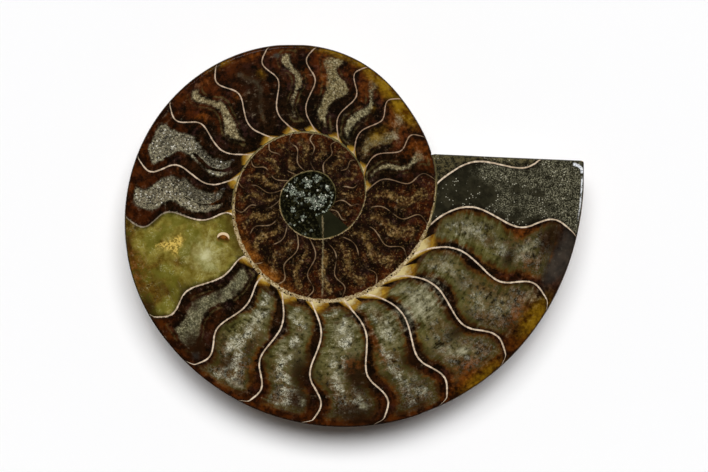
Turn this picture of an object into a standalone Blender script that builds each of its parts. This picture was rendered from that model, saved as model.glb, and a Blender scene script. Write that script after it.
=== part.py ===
"""An ammonite fossil sawn in half: polished cut face up, rounded shell flank with its navel down.

The half is one closed body. The frame is in metres: origin at the middle of the bounding box on its
underside, +Z out of the cut face, +X along the straight sawn edge towards the last chamber.
A growth angle runs counterclockwise from +X round the coil's axis and keeps counting, so 1080 degrees
is the third time round. Growth runs towards larger angles.
"""

import math

import bmesh
import bpy

MM = 0.001

# The coil: a logarithmic spiral for the outer edge of the whorls.
COIL_RADIUS = 62.5 * MM  # the spiral's radius at COIL_TURNS_AT, before the swellings below
COIL_RADIUS_AT = 1080.0
COIL_GROWTH = 2.36  # the radius grows by this in one turn
# Places where the shell swells or draws in: growth angle, reach in degrees, share of the radius.
COIL_SWELLINGS = (
    (120.0, 45.0, -0.080),
    (630.0, 38.0, 0.050),
    (762.0, 24.0, -0.035),
    (1100.0, 48.0, -0.053),
)
LATE_DRAW_IN = 0.018  # the last half turn lies this share inside the spiral
LATE_DRAW_IN_AT = 940.0
LATE_DRAW_IN_REACH = 14.0

# The whorl's section, from the navel seam to the outer edge.
NAVEL_SHARE = 0.24  # radius of the seam as a share of the outer radius
THICKNESS = 14.0 * MM  # cut face to the deepest part of the flank
FULL_DEPTH_FROM = 840.0  # growth angle where the flank comes near its full depth
DEPTH_BLEND = 8.0
SHOULDER_AT = 0.28  # share of the way from the seam to the outer edge where the flank is deepest
SHOULDER_SHARPNESS = 2.6
FLANK_FULLNESS = 2.4

# The straight sawn edge that ends the last chamber.
SAWN_DISTANCE = 10.4 * MM  # from the coil's axis
SAWN_SLOPE_DEG = 2.5  # it falls towards +X
SAWN_COLUMN_DEG = 15.0
SAWN_BLEND_DEG = 90.0
AXIS_CALM_RADIUS = 4.0 * MM  # columns inside this radius are straight

# The ground and polished rim of the cut face, which runs on down the outside of the sawn end.
RIM_BEVEL = 0.7 * MM
RIM_SEGMENTS = 3

# The grid.
COLUMNS_PER_TURN = 96
TURNS = 3
INNER_ROWS = 6
OUTER_ROWS = 9

HALF_COLOUR = (0.16, 0.085, 0.035, 1.0)
HALF_ROUGHNESS = 0.18


def outer_radius(growth_deg):
    """Radius of the shell's outer edge at a growth angle."""
    share = 1.0
    for centre, reach, amount in COIL_SWELLINGS:
        share += amount * math.exp(-(((growth_deg - centre) / reach) ** 2))
    late = 0.5 + 0.5 * math.tanh((growth_deg - LATE_DRAW_IN_AT) / LATE_DRAW_IN_REACH)
    share -= LATE_DRAW_IN * late
    turns = (growth_deg - COIL_RADIUS_AT) / 360.0
    return COIL_RADIUS * COIL_GROWTH**turns * share


def seam_radius(growth_deg):
    """Radius of the seam where a whorl lies on the one before it."""
    return NAVEL_SHARE * outer_radius(growth_deg)


def flank_depth(growth_deg):
    """Depth of the flank's deepest line below the cut plane."""
    grown = COIL_GROWTH ** ((growth_deg - FULL_DEPTH_FROM) / 360.0)
    return THICKNESS * grown / (1.0 + grown**DEPTH_BLEND) ** (1.0 / DEPTH_BLEND)


def outer_flank_depth(growth_deg, radius):
    """Depth of a whorl's flank outside its shoulder."""
    seam = seam_radius(growth_deg)
    along = (radius - seam) / (outer_radius(growth_deg) - seam)
    beyond = min(max((along - SHOULDER_AT) / (1.0 - SHOULDER_AT), 0.0), 1.0)
    return flank_depth(growth_deg) * math.sqrt(1.0 - beyond**FLANK_FULLNESS)


def whorl_depth(growth_deg, radius):
    """Depth of the shell surface at a radius within the whorl of this growth angle."""
    seam = seam_radius(growth_deg)
    along = (radius - seam) / (outer_radius(growth_deg) - seam)
    if along >= SHOULDER_AT:
        return outer_flank_depth(growth_deg, radius)
    deepest = flank_depth(growth_deg)
    at_seam = outer_flank_depth(growth_deg - 360.0, seam)
    return deepest - (deepest - at_seam) * (1.0 - max(along, 0.0) / SHOULDER_AT) ** SHOULDER_SHARPNESS


def sawn_turn(radius):
    """How far a column turns at this radius so that the end column lies in the sawn plane."""
    seam = SEAM_AT_SAWN_EDGE
    reach = max(radius, seam)
    angle = 90.0 - SAWN_SLOPE_DEG - math.degrees(math.acos(SAWN_DISTANCE / reach))
    calm = min(max((radius - AXIS_CALM_RADIUS) / (seam - AXIS_CALM_RADIUS), 0.0), 1.0)
    return (angle - SAWN_COLUMN_DEG) * calm * calm * (3.0 - 2.0 * calm)


def seam_at_sawn_edge():
    """Radius at which the last whorl's seam meets the sawn plane."""
    radius = SAWN_DISTANCE * 1.5
    for _ in range(30):
        angle = 90.0 - SAWN_SLOPE_DEG - math.degrees(math.acos(SAWN_DISTANCE / radius))
        radius = seam_radius(TURNS * 360.0 + angle)
    return radius


SEAM_AT_SAWN_EDGE = seam_at_sawn_edge()


def column_weight(growth_deg):
    """1 on the columns that lie in the sawn plane, falling to 0 away from them."""
    away = abs((growth_deg - SAWN_COLUMN_DEG + 180.0) % 360.0 - 180.0)
    near = max(1.0 - away / SAWN_BLEND_DEG, 0.0)
    return near * near * (3.0 - 2.0 * near)


def point_on_whorl(column_deg, radius_of):
    """A point of the shell surface: its radius comes from radius_of(growth angle)."""
    weight = column_weight(column_deg)
    growth = column_deg
    for _ in range(40):
        growth = column_deg + weight * sawn_turn(radius_of(growth))
    radius = radius_of(growth)
    angle = math.radians(growth)
    depth = whorl_depth(growth, radius)
    return (radius * math.cos(angle), radius * math.sin(angle), THICKNESS - depth)


def inner_row_radius(row):
    """The radius rule of a row between a whorl's seam and the line the next whorl's seam follows."""
    share = row / INNER_ROWS

    def radius_of(growth_deg):
        seam = seam_radius(growth_deg)
        return seam + (seam_radius(growth_deg + 360.0) - seam) * share

    return radius_of


def outer_row_radius(row):
    """The radius rule of a row between the next seam's line and the outer edge."""
    share = math.sin(0.5 * math.pi * row / OUTER_ROWS)

    def radius_of(growth_deg):
        seam = seam_radius(growth_deg + 360.0)
        return seam + (outer_radius(growth_deg) - seam) * share

    return radius_of


def build_half():
    """The closed half: flank and navel as a spiral strip of quads, the sawn end, and the cut face."""
    body = bmesh.new()
    step = 360.0 / COLUMNS_PER_TURN
    last = TURNS * COLUMNS_PER_TURN
    exposed = last - COLUMNS_PER_TURN
    inner = {}
    outer = {}
    for column in range(last + 1):
        column_deg = SAWN_COLUMN_DEG + column * step
        for row in range(INNER_ROWS + 1):
            if row == 0 and column >= COLUMNS_PER_TURN:
                inner[column, row] = inner[column - COLUMNS_PER_TURN, INNER_ROWS]
                continue
            place = point_on_whorl(column_deg, inner_row_radius(row))
            inner[column, row] = body.verts.new(place)
        if column < exposed:
            continue
        outer[column, 0] = inner[column, INNER_ROWS]
        for row in range(1, OUTER_ROWS + 1):
            place = point_on_whorl(column_deg, outer_row_radius(row))
            if row == OUTER_ROWS:
                place = (place[0], place[1], THICKNESS)
            outer[column, row] = body.verts.new(place)

    for grid, first, rows in ((inner, 0, INNER_ROWS), (outer, exposed, OUTER_ROWS)):
        for column in range(first, last):
            for row in range(rows):
                body.faces.new(
                    (
                        grid[column, row],
                        grid[column + 1, row],
                        grid[column + 1, row + 1],
                        grid[column, row + 1],
                    )
                )

    # The middle of the navel: a fan from the axis to the strip's first turn.
    ring = [inner[column, 0] for column in range(COLUMNS_PER_TURN + 1)]
    ring += [inner[0, row] for row in range(INNER_ROWS - 1, 0, -1)]
    middle = body.verts.new((0.0, 0.0, ring[0].co.z))
    for start, end in zip(ring, ring[1:] + ring[:1]):
        body.faces.new((middle, end, start))

    # The sawn end, a flat face between the last column and the flank one turn earlier.
    sawn = [inner[last, row] for row in range(INNER_ROWS)]
    sawn += [outer[last, row] for row in range(OUTER_ROWS + 1)]
    sawn += [outer[exposed, row] for row in range(OUTER_ROWS, 0, -1)]
    body.faces.new(sawn)

    # The polished cut face.
    cut = body.faces.new([outer[column, OUTER_ROWS] for column in range(exposed, last + 1)])
    bmesh.ops.recalc_face_normals(body, faces=body.faces[:])
    rim = set(cut.edges)
    rim.update(body.edges.get((outer[last, row], outer[last, row + 1])) for row in range(OUTER_ROWS))
    bmesh.ops.bevel(
        body,
        geom=list(rim),
        offset=RIM_BEVEL,
        offset_type="OFFSET",
        segments=RIM_SEGMENTS,
        profile=0.5,
        affect="EDGES",
        clamp_overlap=False,
    )
    return body


def centre_on_box(body):
    """Moves the body so that the origin is the middle of its bounding box, on the underside."""
    lows = [min(vert.co[axis] for vert in body.verts) for axis in range(3)]
    highs = [max(vert.co[axis] for vert in body.verts) for axis in range(3)]
    shift = (-(lows[0] + highs[0]) / 2, -(lows[1] + highs[1]) / 2, -lows[2])
    bmesh.ops.translate(body, vec=shift, verts=body.verts[:])


def stone_material():
    material = bpy.data.materials.new("stone")
    material.use_nodes = True
    shader = material.node_tree.nodes["Principled BSDF"]
    shader.inputs["Base Color"].default_value = HALF_COLOUR
    shader.inputs["Roughness"].default_value = HALF_ROUGHNESS
    shader.inputs["Metallic"].default_value = 0.0
    return material


def main():
    for obj in list(bpy.data.objects):
        bpy.data.objects.remove(obj, do_unlink=True)
    body = build_half()
    centre_on_box(body)
    mesh = bpy.data.meshes.new("ammonite_half")
    body.to_mesh(mesh)
    body.free()
    mesh.materials.append(stone_material())
    half = bpy.data.objects.new("ammonite_half", mesh)
    bpy.context.scene.collection.objects.link(half)


main()
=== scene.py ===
"""The looks of a polished ammonite half, built around its CAD part.

The visual model is one closed mesh, the body, and the small crystals that stand in its open pockets.
Both follow the coil that the CAD part follows. A growth angle runs counterclockwise from +X round the
coil's axis and keeps counting, so 1080 degrees is the third time round. Across a whorl, t runs from
0 at the inner wall to 1 at the outer edge. Lengths are in millimetres until the meshes are made.
"""

import math

import bpy
import numpy as np
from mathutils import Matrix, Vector, geometry


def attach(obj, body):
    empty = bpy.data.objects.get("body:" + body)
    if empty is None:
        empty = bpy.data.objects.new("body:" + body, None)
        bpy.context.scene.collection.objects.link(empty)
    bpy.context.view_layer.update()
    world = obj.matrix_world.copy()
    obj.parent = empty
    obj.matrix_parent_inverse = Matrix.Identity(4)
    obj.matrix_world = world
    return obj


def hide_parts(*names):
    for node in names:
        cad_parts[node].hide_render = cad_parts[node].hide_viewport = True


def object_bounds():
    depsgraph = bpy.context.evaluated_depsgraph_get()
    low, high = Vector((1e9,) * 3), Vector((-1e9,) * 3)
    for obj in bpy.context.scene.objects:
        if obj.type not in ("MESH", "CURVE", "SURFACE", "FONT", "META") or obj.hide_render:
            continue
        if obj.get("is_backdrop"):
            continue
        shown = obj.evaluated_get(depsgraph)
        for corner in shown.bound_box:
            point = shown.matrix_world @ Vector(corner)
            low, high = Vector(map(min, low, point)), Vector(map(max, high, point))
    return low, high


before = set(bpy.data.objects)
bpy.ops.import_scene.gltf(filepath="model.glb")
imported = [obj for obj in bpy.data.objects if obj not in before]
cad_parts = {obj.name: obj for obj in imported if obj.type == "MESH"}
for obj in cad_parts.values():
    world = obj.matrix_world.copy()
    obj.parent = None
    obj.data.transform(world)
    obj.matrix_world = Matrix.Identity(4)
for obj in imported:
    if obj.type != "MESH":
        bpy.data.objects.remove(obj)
CAD_LOW, CAD_HIGH = (tuple(corner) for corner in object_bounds())

MM = 0.001
SEED = 11
TURN = 360.0

# ---- the coil, as in the CAD part
COIL_RADIUS = 62.5
COIL_RADIUS_AT = 1080.0
COIL_GROWTH = 2.36
COIL_SWELLINGS = (
    (120.0, 45.0, -0.080),
    (630.0, 38.0, 0.050),
    (762.0, 24.0, -0.035),
    (1100.0, 48.0, -0.053),
)
LATE_DRAW_IN = 0.018
LATE_DRAW_IN_AT = 940.0
LATE_DRAW_IN_REACH = 14.0
NAVEL_SHARE = 0.24
THICKNESS = 14.0
FULL_DEPTH_FROM = 840.0
DEPTH_BLEND = 8.0
SHOULDER_AT = 0.28
SHOULDER_SHARPNESS = 2.6
FLANK_FULLNESS = 2.4
SAWN_DISTANCE = 10.4
SAWN_SLOPE_DEG = 2.5
SAWN_COLUMN_DEG = 15.0
SAWN_BLEND_DEG = 90.0
AXIS_CALM_RADIUS = 4.0
FACE_CALM_SHARE = 0.4
CROSSING_ROUNDS = 30
COLUMN_ROUNDS = 40
TURNS = 3
END_DEG = SAWN_COLUMN_DEG + TURN * TURNS
EDGE_ROUND = 0.7

# ---- the grid
COLUMNS = 480
END_COLUMNS = (0.5, 1.0, 1.4, 1.7, 1.88)  # the last columns crowd towards the sawn plane
RIM_STEPS = (0.90, 0.70, 0.54, 0.40, 0.27, 0.16, 0.07, 0.0)  # distances from the rim
PLAIN_ROWS = 57
FACE_ROWS = PLAIN_ROWS + len(RIM_STEPS) - 1
NAVEL_ROWS = 9
FLANK_ROWS = 18
CENTRE_RINGS = (0.86, 0.72, 0.58, 0.44, 0.30, 0.16)


def smooth(x):
    """0 up to 0 and 1 from 1, smooth between."""
    x = np.clip(x, 0.0, 1.0)
    return x * x * (3.0 - 2.0 * x)


def hashed(ix, iy, seed):
    """A repeatable random number from 0 to 1 for each lattice point."""
    h = (ix.astype(np.int64) * 374761393 + iy.astype(np.int64) * 668265263 + seed * 144269504) & 0xFFFFFFFF
    h = ((h ^ (h >> 13)) * 1274126177) & 0xFFFFFFFF
    return ((h ^ (h >> 16)) & 0xFFFF) / 65535.0


def noise(x, y, seed):
    """Smooth value noise from -1 to 1, one bump per unit."""
    ix, iy = np.floor(x), np.floor(y)
    fx, fy = smooth(x - ix), smooth(y - iy)
    low = hashed(ix, iy, seed) * (1 - fx) + hashed(ix + 1, iy, seed) * fx
    high = hashed(ix, iy + 1, seed) * (1 - fx) + hashed(ix + 1, iy + 1, seed) * fx
    return 2.0 * (low * (1 - fy) + high * fy) - 1.0


OCTAVES, OCTAVE_FADE, OCTAVE_SHIFT = 3, 0.55, (17.3, -9.1)


def clouds(x, y, size, seed):
    """Layered noise whose largest bumps are size across."""
    total, share, amount = 0.0, 0.0, 1.0
    for octave in range(OCTAVES):
        shift_x, shift_y = (shift * octave for shift in OCTAVE_SHIFT)
        total = total + amount * noise(x / size + shift_x, y / size + shift_y, seed + octave)
        share += amount
        amount *= OCTAVE_FADE
        size *= 0.5
    return total / share


def outer_radius(growth):
    """The spiral of the shell's outer edge."""
    share = 1.0 - LATE_DRAW_IN * (0.5 + 0.5 * np.tanh((growth - LATE_DRAW_IN_AT) / LATE_DRAW_IN_REACH))
    for centre, reach, amount in COIL_SWELLINGS:
        share = share + amount * np.exp(-(((growth - centre) / reach) ** 2))
    return COIL_RADIUS * COIL_GROWTH ** ((growth - COIL_RADIUS_AT) / TURN) * share


def seam_radius(growth):
    """The spiral where a whorl's flank meets the whorl before."""
    return NAVEL_SHARE * outer_radius(growth)


def share_of_flank(growth, radius):
    """The share of the way from a whorl's seam to its outer edge."""
    seam = seam_radius(growth)
    return (radius - seam) / (outer_radius(growth) - seam)


def flank_depth(growth):
    """How deep the deepest part of a whorl's flank lies below the cut face."""
    grown = COIL_GROWTH ** ((growth - FULL_DEPTH_FROM) / TURN)
    return THICKNESS * grown / (1.0 + grown**DEPTH_BLEND) ** (1.0 / DEPTH_BLEND)


def outer_flank_depth(growth, radius):
    """Depth of the flank from its shoulder out to the edge."""
    along = share_of_flank(growth, radius)
    beyond = np.clip((along - SHOULDER_AT) / (1.0 - SHOULDER_AT), 0.0, 1.0)
    return flank_depth(growth) * np.sqrt(1.0 - beyond**FLANK_FULLNESS)


def whorl_depth(growth, radius):
    """Depth of the whole flank, seam to edge."""
    along = share_of_flank(growth, radius)
    deepest = flank_depth(growth)
    at_seam = outer_flank_depth(growth - TURN, seam_radius(growth))
    wall = (1.0 - np.clip(along, 0.0, SHOULDER_AT) / SHOULDER_AT) ** SHOULDER_SHARPNESS
    inside = deepest - (deepest - at_seam) * wall
    return np.where(along >= SHOULDER_AT, outer_flank_depth(growth, radius), inside)


def radius_at_depth(growth, depth):
    """Radius near the outer edge where the flank is this deep."""
    seam = seam_radius(growth)
    beyond = (1.0 - (depth / flank_depth(growth)) ** 2) ** (1.0 / FLANK_FULLNESS)
    return seam + (SHOULDER_AT + beyond * (1.0 - SHOULDER_AT)) * (outer_radius(growth) - seam)


def line_angle(radius):
    """Where the sawn plane crosses a circle of this radius."""
    return 90.0 - SAWN_SLOPE_DEG - np.degrees(np.arccos(SAWN_DISTANCE / radius))


def crossing_radius(radius_of):
    """Where the sawn plane meets a spiral."""
    radius = SAWN_DISTANCE * 1.5
    for _ in range(CROSSING_ROUNDS):
        radius = float(radius_of(END_DEG - SAWN_COLUMN_DEG + line_angle(radius)))
    return radius


SEAM_AT_SAWN_EDGE = crossing_radius(seam_radius)
CORNER_RADIUS = crossing_radius(lambda growth: outer_radius(growth - TURN))


def sawn_turn(radius, calm_from, calm_to):
    """How far a column turns at this radius so that the end column lies in the sawn plane."""
    angle = line_angle(np.maximum(radius, calm_to))
    return (angle - SAWN_COLUMN_DEG) * smooth((radius - calm_from) / (calm_to - calm_from))


def solve_columns(columns, radius_of, on_face):
    """Growth angles and radii of points on these columns, whose radius rule is radius_of(growth)."""
    away = np.abs((columns - SAWN_COLUMN_DEG + 180.0) % TURN - 180.0)
    weight = smooth(1.0 - away / SAWN_BLEND_DEG)
    face_calm = (FACE_CALM_SHARE * CORNER_RADIUS, CORNER_RADIUS)
    calm = face_calm if on_face else (AXIS_CALM_RADIUS, SEAM_AT_SAWN_EDGE)
    growth = columns + 0.0 * weight
    for _ in range(COLUMN_ROUNDS):
        growth = columns + weight * sawn_turn(radius_of(growth), *calm)
    return growth, radius_of(growth)


def column_steps():
    """Column angles within one turn, closer together just before the sawn plane."""
    plain = COLUMNS - len(END_COLUMNS)
    places = list(range(plain)) + [plain - 1 + offset for offset in END_COLUMNS]
    return np.array(places) * TURN / (plain + 1)


STEPS = column_steps()

# ---- septa and chambers
# Growth angle of each septum halfway between its swings, from the middle of the coil outwards.
SEPTA = np.array(
    [300, 325, 350, 376, 403, 430, 452, 472, 492, 512, 532, 551, 570, 591, 610, 629, 648, 668, 689, 709, 731]
    + [751, 771, 790, 812, 830, 849, 870, 890, 909, 939, 956, 974, 991, 1009, 1025, 1042, 1058, 1074, 1090]
    + [1107, 1124, 1141],
    float,
)
# A septum's swing: t, and how far it leans towards growth as a share of its swing.
SWING = (
    (-0.10, -0.80), (0.00, -0.60), (0.05, -0.30), (0.10, 0.15), (0.18, 0.85), (0.25, 1.03), (0.31, 0.85),
    (0.37, 0.42), (0.46, -0.32), (0.53, -0.82), (0.60, -1.03), (0.66, -0.78), (0.72, -0.18), (0.78, 0.30),
    (0.83, 0.38), (0.87, 0.18), (0.92, -0.28), (0.97, -0.80), (1.00, -1.20), (1.10, -2.00),
)
# How far a septum's foot runs back along the inner wall, in swings, by growth angle.
FOOT = (
    (893, 1.3), (900, 0.4), (910, -2.2), (962, -2.0), (973, 0.6), (1006, 0.6), (1014, 0.5), (1024, 3.4),
    (1080, 3.4), (1092, 1.4),
)
FOOT_REACH = 0.05
FOOT_AHEAD_DEG = 6.0
EARLY_SWING_DEG = 3.0
LATE_SWING_DEG = 2.2
LATE_SWING_FROM, LATE_SWING_BLEND = 900.0, 40.0
WANDER_DEG = 0.45


def curve_through(points, x):
    """A smooth curve through (x, y) points."""
    px, py = np.array(points).T
    i = np.clip(np.searchsorted(px, x) - 1, 1, len(px) - 3)
    s = np.clip((x - px[i]) / (px[i + 1] - px[i]), 0.0, 1.0)
    gap = px[i + 1] - px[i]
    lean0 = (py[i + 1] - py[i - 1]) / (px[i + 1] - px[i - 1]) * gap
    lean1 = (py[i + 2] - py[i]) / (px[i + 2] - px[i]) * gap
    cubic = (2 * s**3 - 3 * s**2 + 1) * py[i] + (s**3 - 2 * s**2 + s) * lean0
    return cubic + (3 * s**2 - 2 * s**3) * py[i + 1] + (s**3 - s**2) * lean1


def chamber_coordinate(growth, radius):
    """A number whose whole values are the septa, counted along the coil."""
    inner = outer_radius(growth - TURN)
    t = (radius - inner) / (outer_radius(growth) - inner)
    late = smooth((growth - LATE_SWING_FROM) / LATE_SWING_BLEND)
    swing = EARLY_SWING_DEG + (LATE_SWING_DEG - EARLY_SWING_DEG) * late
    foot = np.interp(growth + FOOT_AHEAD_DEG, *np.array(FOOT).T) * np.exp(-np.maximum(t, -0.05) / FOOT_REACH)
    wander = WANDER_DEG * noise(growth / 13.0, t * 2.3, SEED + 5)
    unswung = growth - swing * (curve_through(SWING, t) - foot) - wander
    return np.interp(unswung, SEPTA, np.arange(len(SEPTA)))


def face_radius(row):
    """The radius rule of a row of the cut face, from a whorl's inner wall to its outer edge."""
    if row <= PLAIN_ROWS:
        share = row / PLAIN_ROWS
        return lambda g: outer_radius(g - TURN) * (1 - share) + (outer_radius(g) - RIM_STEPS[0]) * share
    return lambda g: outer_radius(g) - RIM_STEPS[row - PLAIN_ROWS]


def navel_radius(row):
    """The radius rule of a row of the navel, between one seam and the line the next seam follows."""
    share = row / NAVEL_ROWS
    return lambda g: seam_radius(g) * (1 - share) + seam_radius(g + TURN) * share


def flank_radius(row):
    """The radius rule of a row of the last whorl's flank, from the next seam's line to the outer edge."""
    if row < FLANK_ROWS:

        def radius_of(g):
            seam, outer = seam_radius(g + TURN), outer_radius(g)
            top = np.arcsin((radius_at_depth(g, RIM_STEPS[0]) - seam) / (outer - seam))
            return seam + (outer - seam) * np.sin(top * row / (FLANK_ROWS - 1))

        return radius_of
    return lambda g: radius_at_depth(g, RIM_STEPS[row - FLANK_ROWS + 1])


class Body:
    """Points, faces, and the values that each face corner carries into the materials."""

    def __init__(self):
        self.points = []
        self.count = 0
        self.samples = []
        self.sample_count = 0
        self.faces = []
        self.kinds = []

    def add_points(self, points):
        points = np.asarray(points, float)
        self.points.append(points.reshape(-1, 3))
        first = self.count
        self.count += len(self.points[-1])
        return (first + np.arange(len(self.points[-1]))).reshape(points.shape[:-1])

    def add_samples(self, vertex, **values):
        """Corner values at vertices; returns sample numbers in the shape of vertex."""
        shape = vertex.shape
        filled = {name: np.broadcast_to(value, shape).reshape(-1) for name, value in values.items()}
        self.samples.append((vertex.reshape(-1), filled))
        first = self.sample_count
        self.sample_count += vertex.size
        return (first + np.arange(vertex.size)).reshape(shape)

    def add_faces(self, faces, kind):
        self.faces.extend(faces.tolist() if hasattr(faces, "tolist") else faces)
        self.kinds.extend([kind] * len(faces))


def strip_quads(s, outwards_first):
    """Quads of a grid of samples, columns first; the order decides which way they face."""
    a, b, c, d = s[:-1, :-1], s[1:, :-1], s[1:, 1:], s[:-1, 1:]
    order = (a, d, c, b) if outwards_first else (a, b, c, d)
    return np.stack([corner.reshape(-1) for corner in order], axis=1)


FACE, SHELL, SAWN, POCKET = 0, 1, 2, 3
body = Body()
SAW_TURNED = math.radians(90 - SAWN_SLOPE_DEG)
SAW_OUT = np.array([math.cos(SAW_TURNED), math.sin(SAW_TURNED), 0.0])
SAW_ALONG = np.array([SAW_OUT[1], -SAW_OUT[0], 0.0])
UP = np.array([0.0, 0.0, 1.0])


def grid_points(turn, rule, rows, on_face):
    """Growth angles, radii and points of rows of one turn of columns, the turn's last column included."""
    columns = np.append(STEPS, TURN) + SAWN_COLUMN_DEG + TURN * turn
    solved = [solve_columns(columns, rule(row), on_face) for row in rows]
    growth = np.stack([g for g, _ in solved], axis=1)
    radius = np.stack([r for _, r in solved], axis=1)
    depth = np.zeros_like(radius) if on_face else whorl_depth(growth, radius)
    turned = np.radians(growth)
    x, y = radius * np.cos(turned), radius * np.sin(turned)
    return growth, radius, np.stack([x, y, THICKNESS - depth], axis=2)


# The cut face: three turns of the spiral, each with half the rows of the next one out.
turns = []
for turn, stride in enumerate((4, 2, 1)):
    rows = list(range(0, FACE_ROWS + 1, stride))
    growth, radius, points = grid_points(turn, face_radius, rows, True)
    ids = np.zeros(growth.shape, int)
    ids[:-1, 1:] = body.add_points(points[:-1, 1:])
    if turn == 0:
        ids[:-1, 0] = body.add_points(points[:-1, 0])
    else:
        ids[:-1, 0] = turns[-1]["ids"][:-1, -1]
        turns[-1]["ids"][-1] = ids[0, ::2]
    turns.append({"growth": growth, "radius": radius, "points": points, "ids": ids, "turn": turn})
last_turn = turns[-1]
last_turn["ids"][-1, 0] = turns[1]["ids"][-1, -1]
last_turn["ids"][-1, 1:] = body.add_points(last_turn["points"][-1, 1:])

# The shell's flank under the last whorl, from its rim down to the line of the next seam.
flank_rows = list(range(FLANK_ROWS + len(RIM_STEPS) - 2))
flank_growth, flank_radii, flank_points = grid_points(TURNS - 1, flank_radius, flank_rows, False)
flank_ids = np.concatenate([body.add_points(flank_points), last_turn["ids"][:, -1:]], axis=1)
flank_growth, flank_radii = (
    np.concatenate([flank, last_turn[key][:, -1:]], axis=1)
    for flank, key in ((flank_growth, "growth"), (flank_radii, "radius"))
)
flank_points = np.concatenate([flank_points, last_turn["points"][:, -1:]], axis=1)

# The navel: three turns of the spiral between one seam and the next.
navels = []
for turn in range(TURNS):
    growth, radius, points = grid_points(turn, navel_radius, range(NAVEL_ROWS + 1), False)
    ids = np.zeros(growth.shape, int)
    ids[:-1, 1:-1] = body.add_points(points[:-1, 1:-1])
    ids[:-1, 0] = navels[-1]["ids"][:-1, -1] if turn else body.add_points(points[:-1, 0])
    ids[:-1, -1] = flank_ids[:-1, 0] if turn == TURNS - 1 else body.add_points(points[:-1, -1])
    if turn:
        navels[-1]["ids"][-1] = ids[0]
    navels.append({"growth": growth, "radius": radius, "points": points, "ids": ids, "turn": turn})
navels[-1]["ids"][-1, 0] = navels[-2]["ids"][-1, -1]
navels[-1]["ids"][-1, 1:-1] = body.add_points(navels[-1]["points"][-1, 1:-1])
navels[-1]["ids"][-1, -1] = flank_ids[-1, 0]

CORNER = last_turn["points"][-1, 0]  # where the rim of the turn before meets the sawn edge


# ---- rounding of the polished edges
def rounded(depth, side, side_out, saw, fade=1.0):
    """How far points move when the edges between the top, a side and the sawn plane are rounded.

    depth, side and saw are distances below or inside those three, and side_out points out of the side.
    """
    top = np.maximum(EDGE_ROUND - depth, 0.0)[..., None] * UP
    side = np.maximum(EDGE_ROUND - side, 0.0)[..., None] * side_out
    saw = np.maximum(EDGE_ROUND - saw, 0.0)[..., None] * SAW_OUT
    length = np.sqrt((top**2).sum(-1) + (side**2).sum(-1) + (saw**2).sum(-1))
    over = np.where(length > EDGE_ROUND, 1.0 - EDGE_ROUND / np.maximum(length, TINY), 0.0) * fade
    return -over[..., None] * (top + side + saw)


FAR = 99.0
TINY = 1e-9
CORNER_COLUMNS = 30  # so many columns of the turn before lie near the inside corner
FLANK_FADE_ROWS = 8.0


def spiral_out(growth):
    """Unit vectors square to the shell's outer edge."""
    slope = math.atan(math.log(COIL_GROWTH) / (2 * math.pi))
    turned = np.radians(growth) - slope
    return np.stack([np.cos(turned), np.sin(turned), np.zeros_like(turned)], axis=-1)


def saw_distance(points):
    """Distance below the sawn plane, and how far along it from the corner."""
    return SAWN_DISTANCE - points @ SAW_OUT, (points - CORNER) @ SAW_ALONG


moves = np.zeros((body.count, 3))
ending = (np.arange(COLUMNS + 1) > COLUMNS // 2)[:, None]  # the half turn before the sawn plane


def towards_corner(points):
    """Unit vectors to the inside corner, and the distance."""
    away = CORNER - points
    gap = np.linalg.norm(away, axis=-1)
    return away / np.maximum(gap, TINY)[..., None], gap


def round_last_turn():
    """Rounds the last turn of the face towards the rim, the sawn edge and the inside corner."""
    points, growth = last_turn["points"], last_turn["growth"]
    below, along = saw_distance(points)
    saw = np.where(ending & (along > 0), below, FAR)
    to_corner, gap = towards_corner(points)
    behind = ending & (along <= 0) & (gap > 1e-6)
    side = np.where(behind, gap, outer_radius(growth) - last_turn["radius"])
    out = np.where(behind[..., None], to_corner, spiral_out(growth))
    moves[last_turn["ids"]] = rounded(np.zeros_like(side), side, out, saw)


def round_inside_corner():
    """Rounds the end of the turn before, towards the inside corner."""
    points, ids = (turns[1][key][-CORNER_COLUMNS:] for key in ("points", "ids"))
    to_corner, gap = towards_corner(points)
    moved = rounded(np.zeros_like(gap), gap, to_corner, np.full_like(gap, FAR))
    moves[ids] = np.where((gap > 1e-6)[..., None], moved, moves[ids])


def corner_side(side_out):
    """One vector that counts as both the side's normal and the saw's at the inside corner."""
    square = np.array([side_out[:2], SAW_OUT[:2]])
    return np.append(np.linalg.solve(square, [1.0, 1.0]), 0.0)


def grid_normals(points):
    """Outward normals of the flank's grid."""
    normal = np.cross(np.gradient(points, axis=1), np.gradient(points, axis=0))
    return -normal / np.maximum(np.linalg.norm(normal, axis=-1), 1e-12)[..., None]


def round_flank():
    """Rounds the last whorl's flank towards the rim and the sawn edge, and returns its normals."""
    points = flank_points
    below, along = saw_distance(points)
    normal = grid_normals(points)
    normal[:, -1] = spiral_out(flank_growth[:, -1])
    depth = THICKNESS - points[..., 2]
    saw = np.where(ending & (along > 0), below, FAR)
    fade = np.broadcast_to(smooth(np.arange(points.shape[1]) / FLANK_FADE_ROWS), depth.shape)
    moved = rounded(depth, np.zeros_like(depth), normal, saw, fade)
    first = depth[0]
    inside = np.broadcast_to(corner_side(normal[0, -1]), first.shape + (3,))
    moved[0] = rounded(first, np.zeros_like(first), inside, np.full_like(first, FAR))
    moves[flank_ids] = moved
    return normal


round_last_turn()
round_inside_corner()
flank_normals = round_flank()

# ---- the sawn end
sawn_loop = np.concatenate(
    [
        navels[-1]["ids"][-1, :-1],
        flank_ids[-1, :-1],
        last_turn["ids"][-1, ::-1],
        flank_ids[0, -2:0:-1],
    ]
)


def on_saw(points):
    """Places in the sawn plane: along it from the corner, and height."""
    return np.stack([(points - CORNER) @ SAW_ALONG, points[:, 2]], axis=1)


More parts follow.
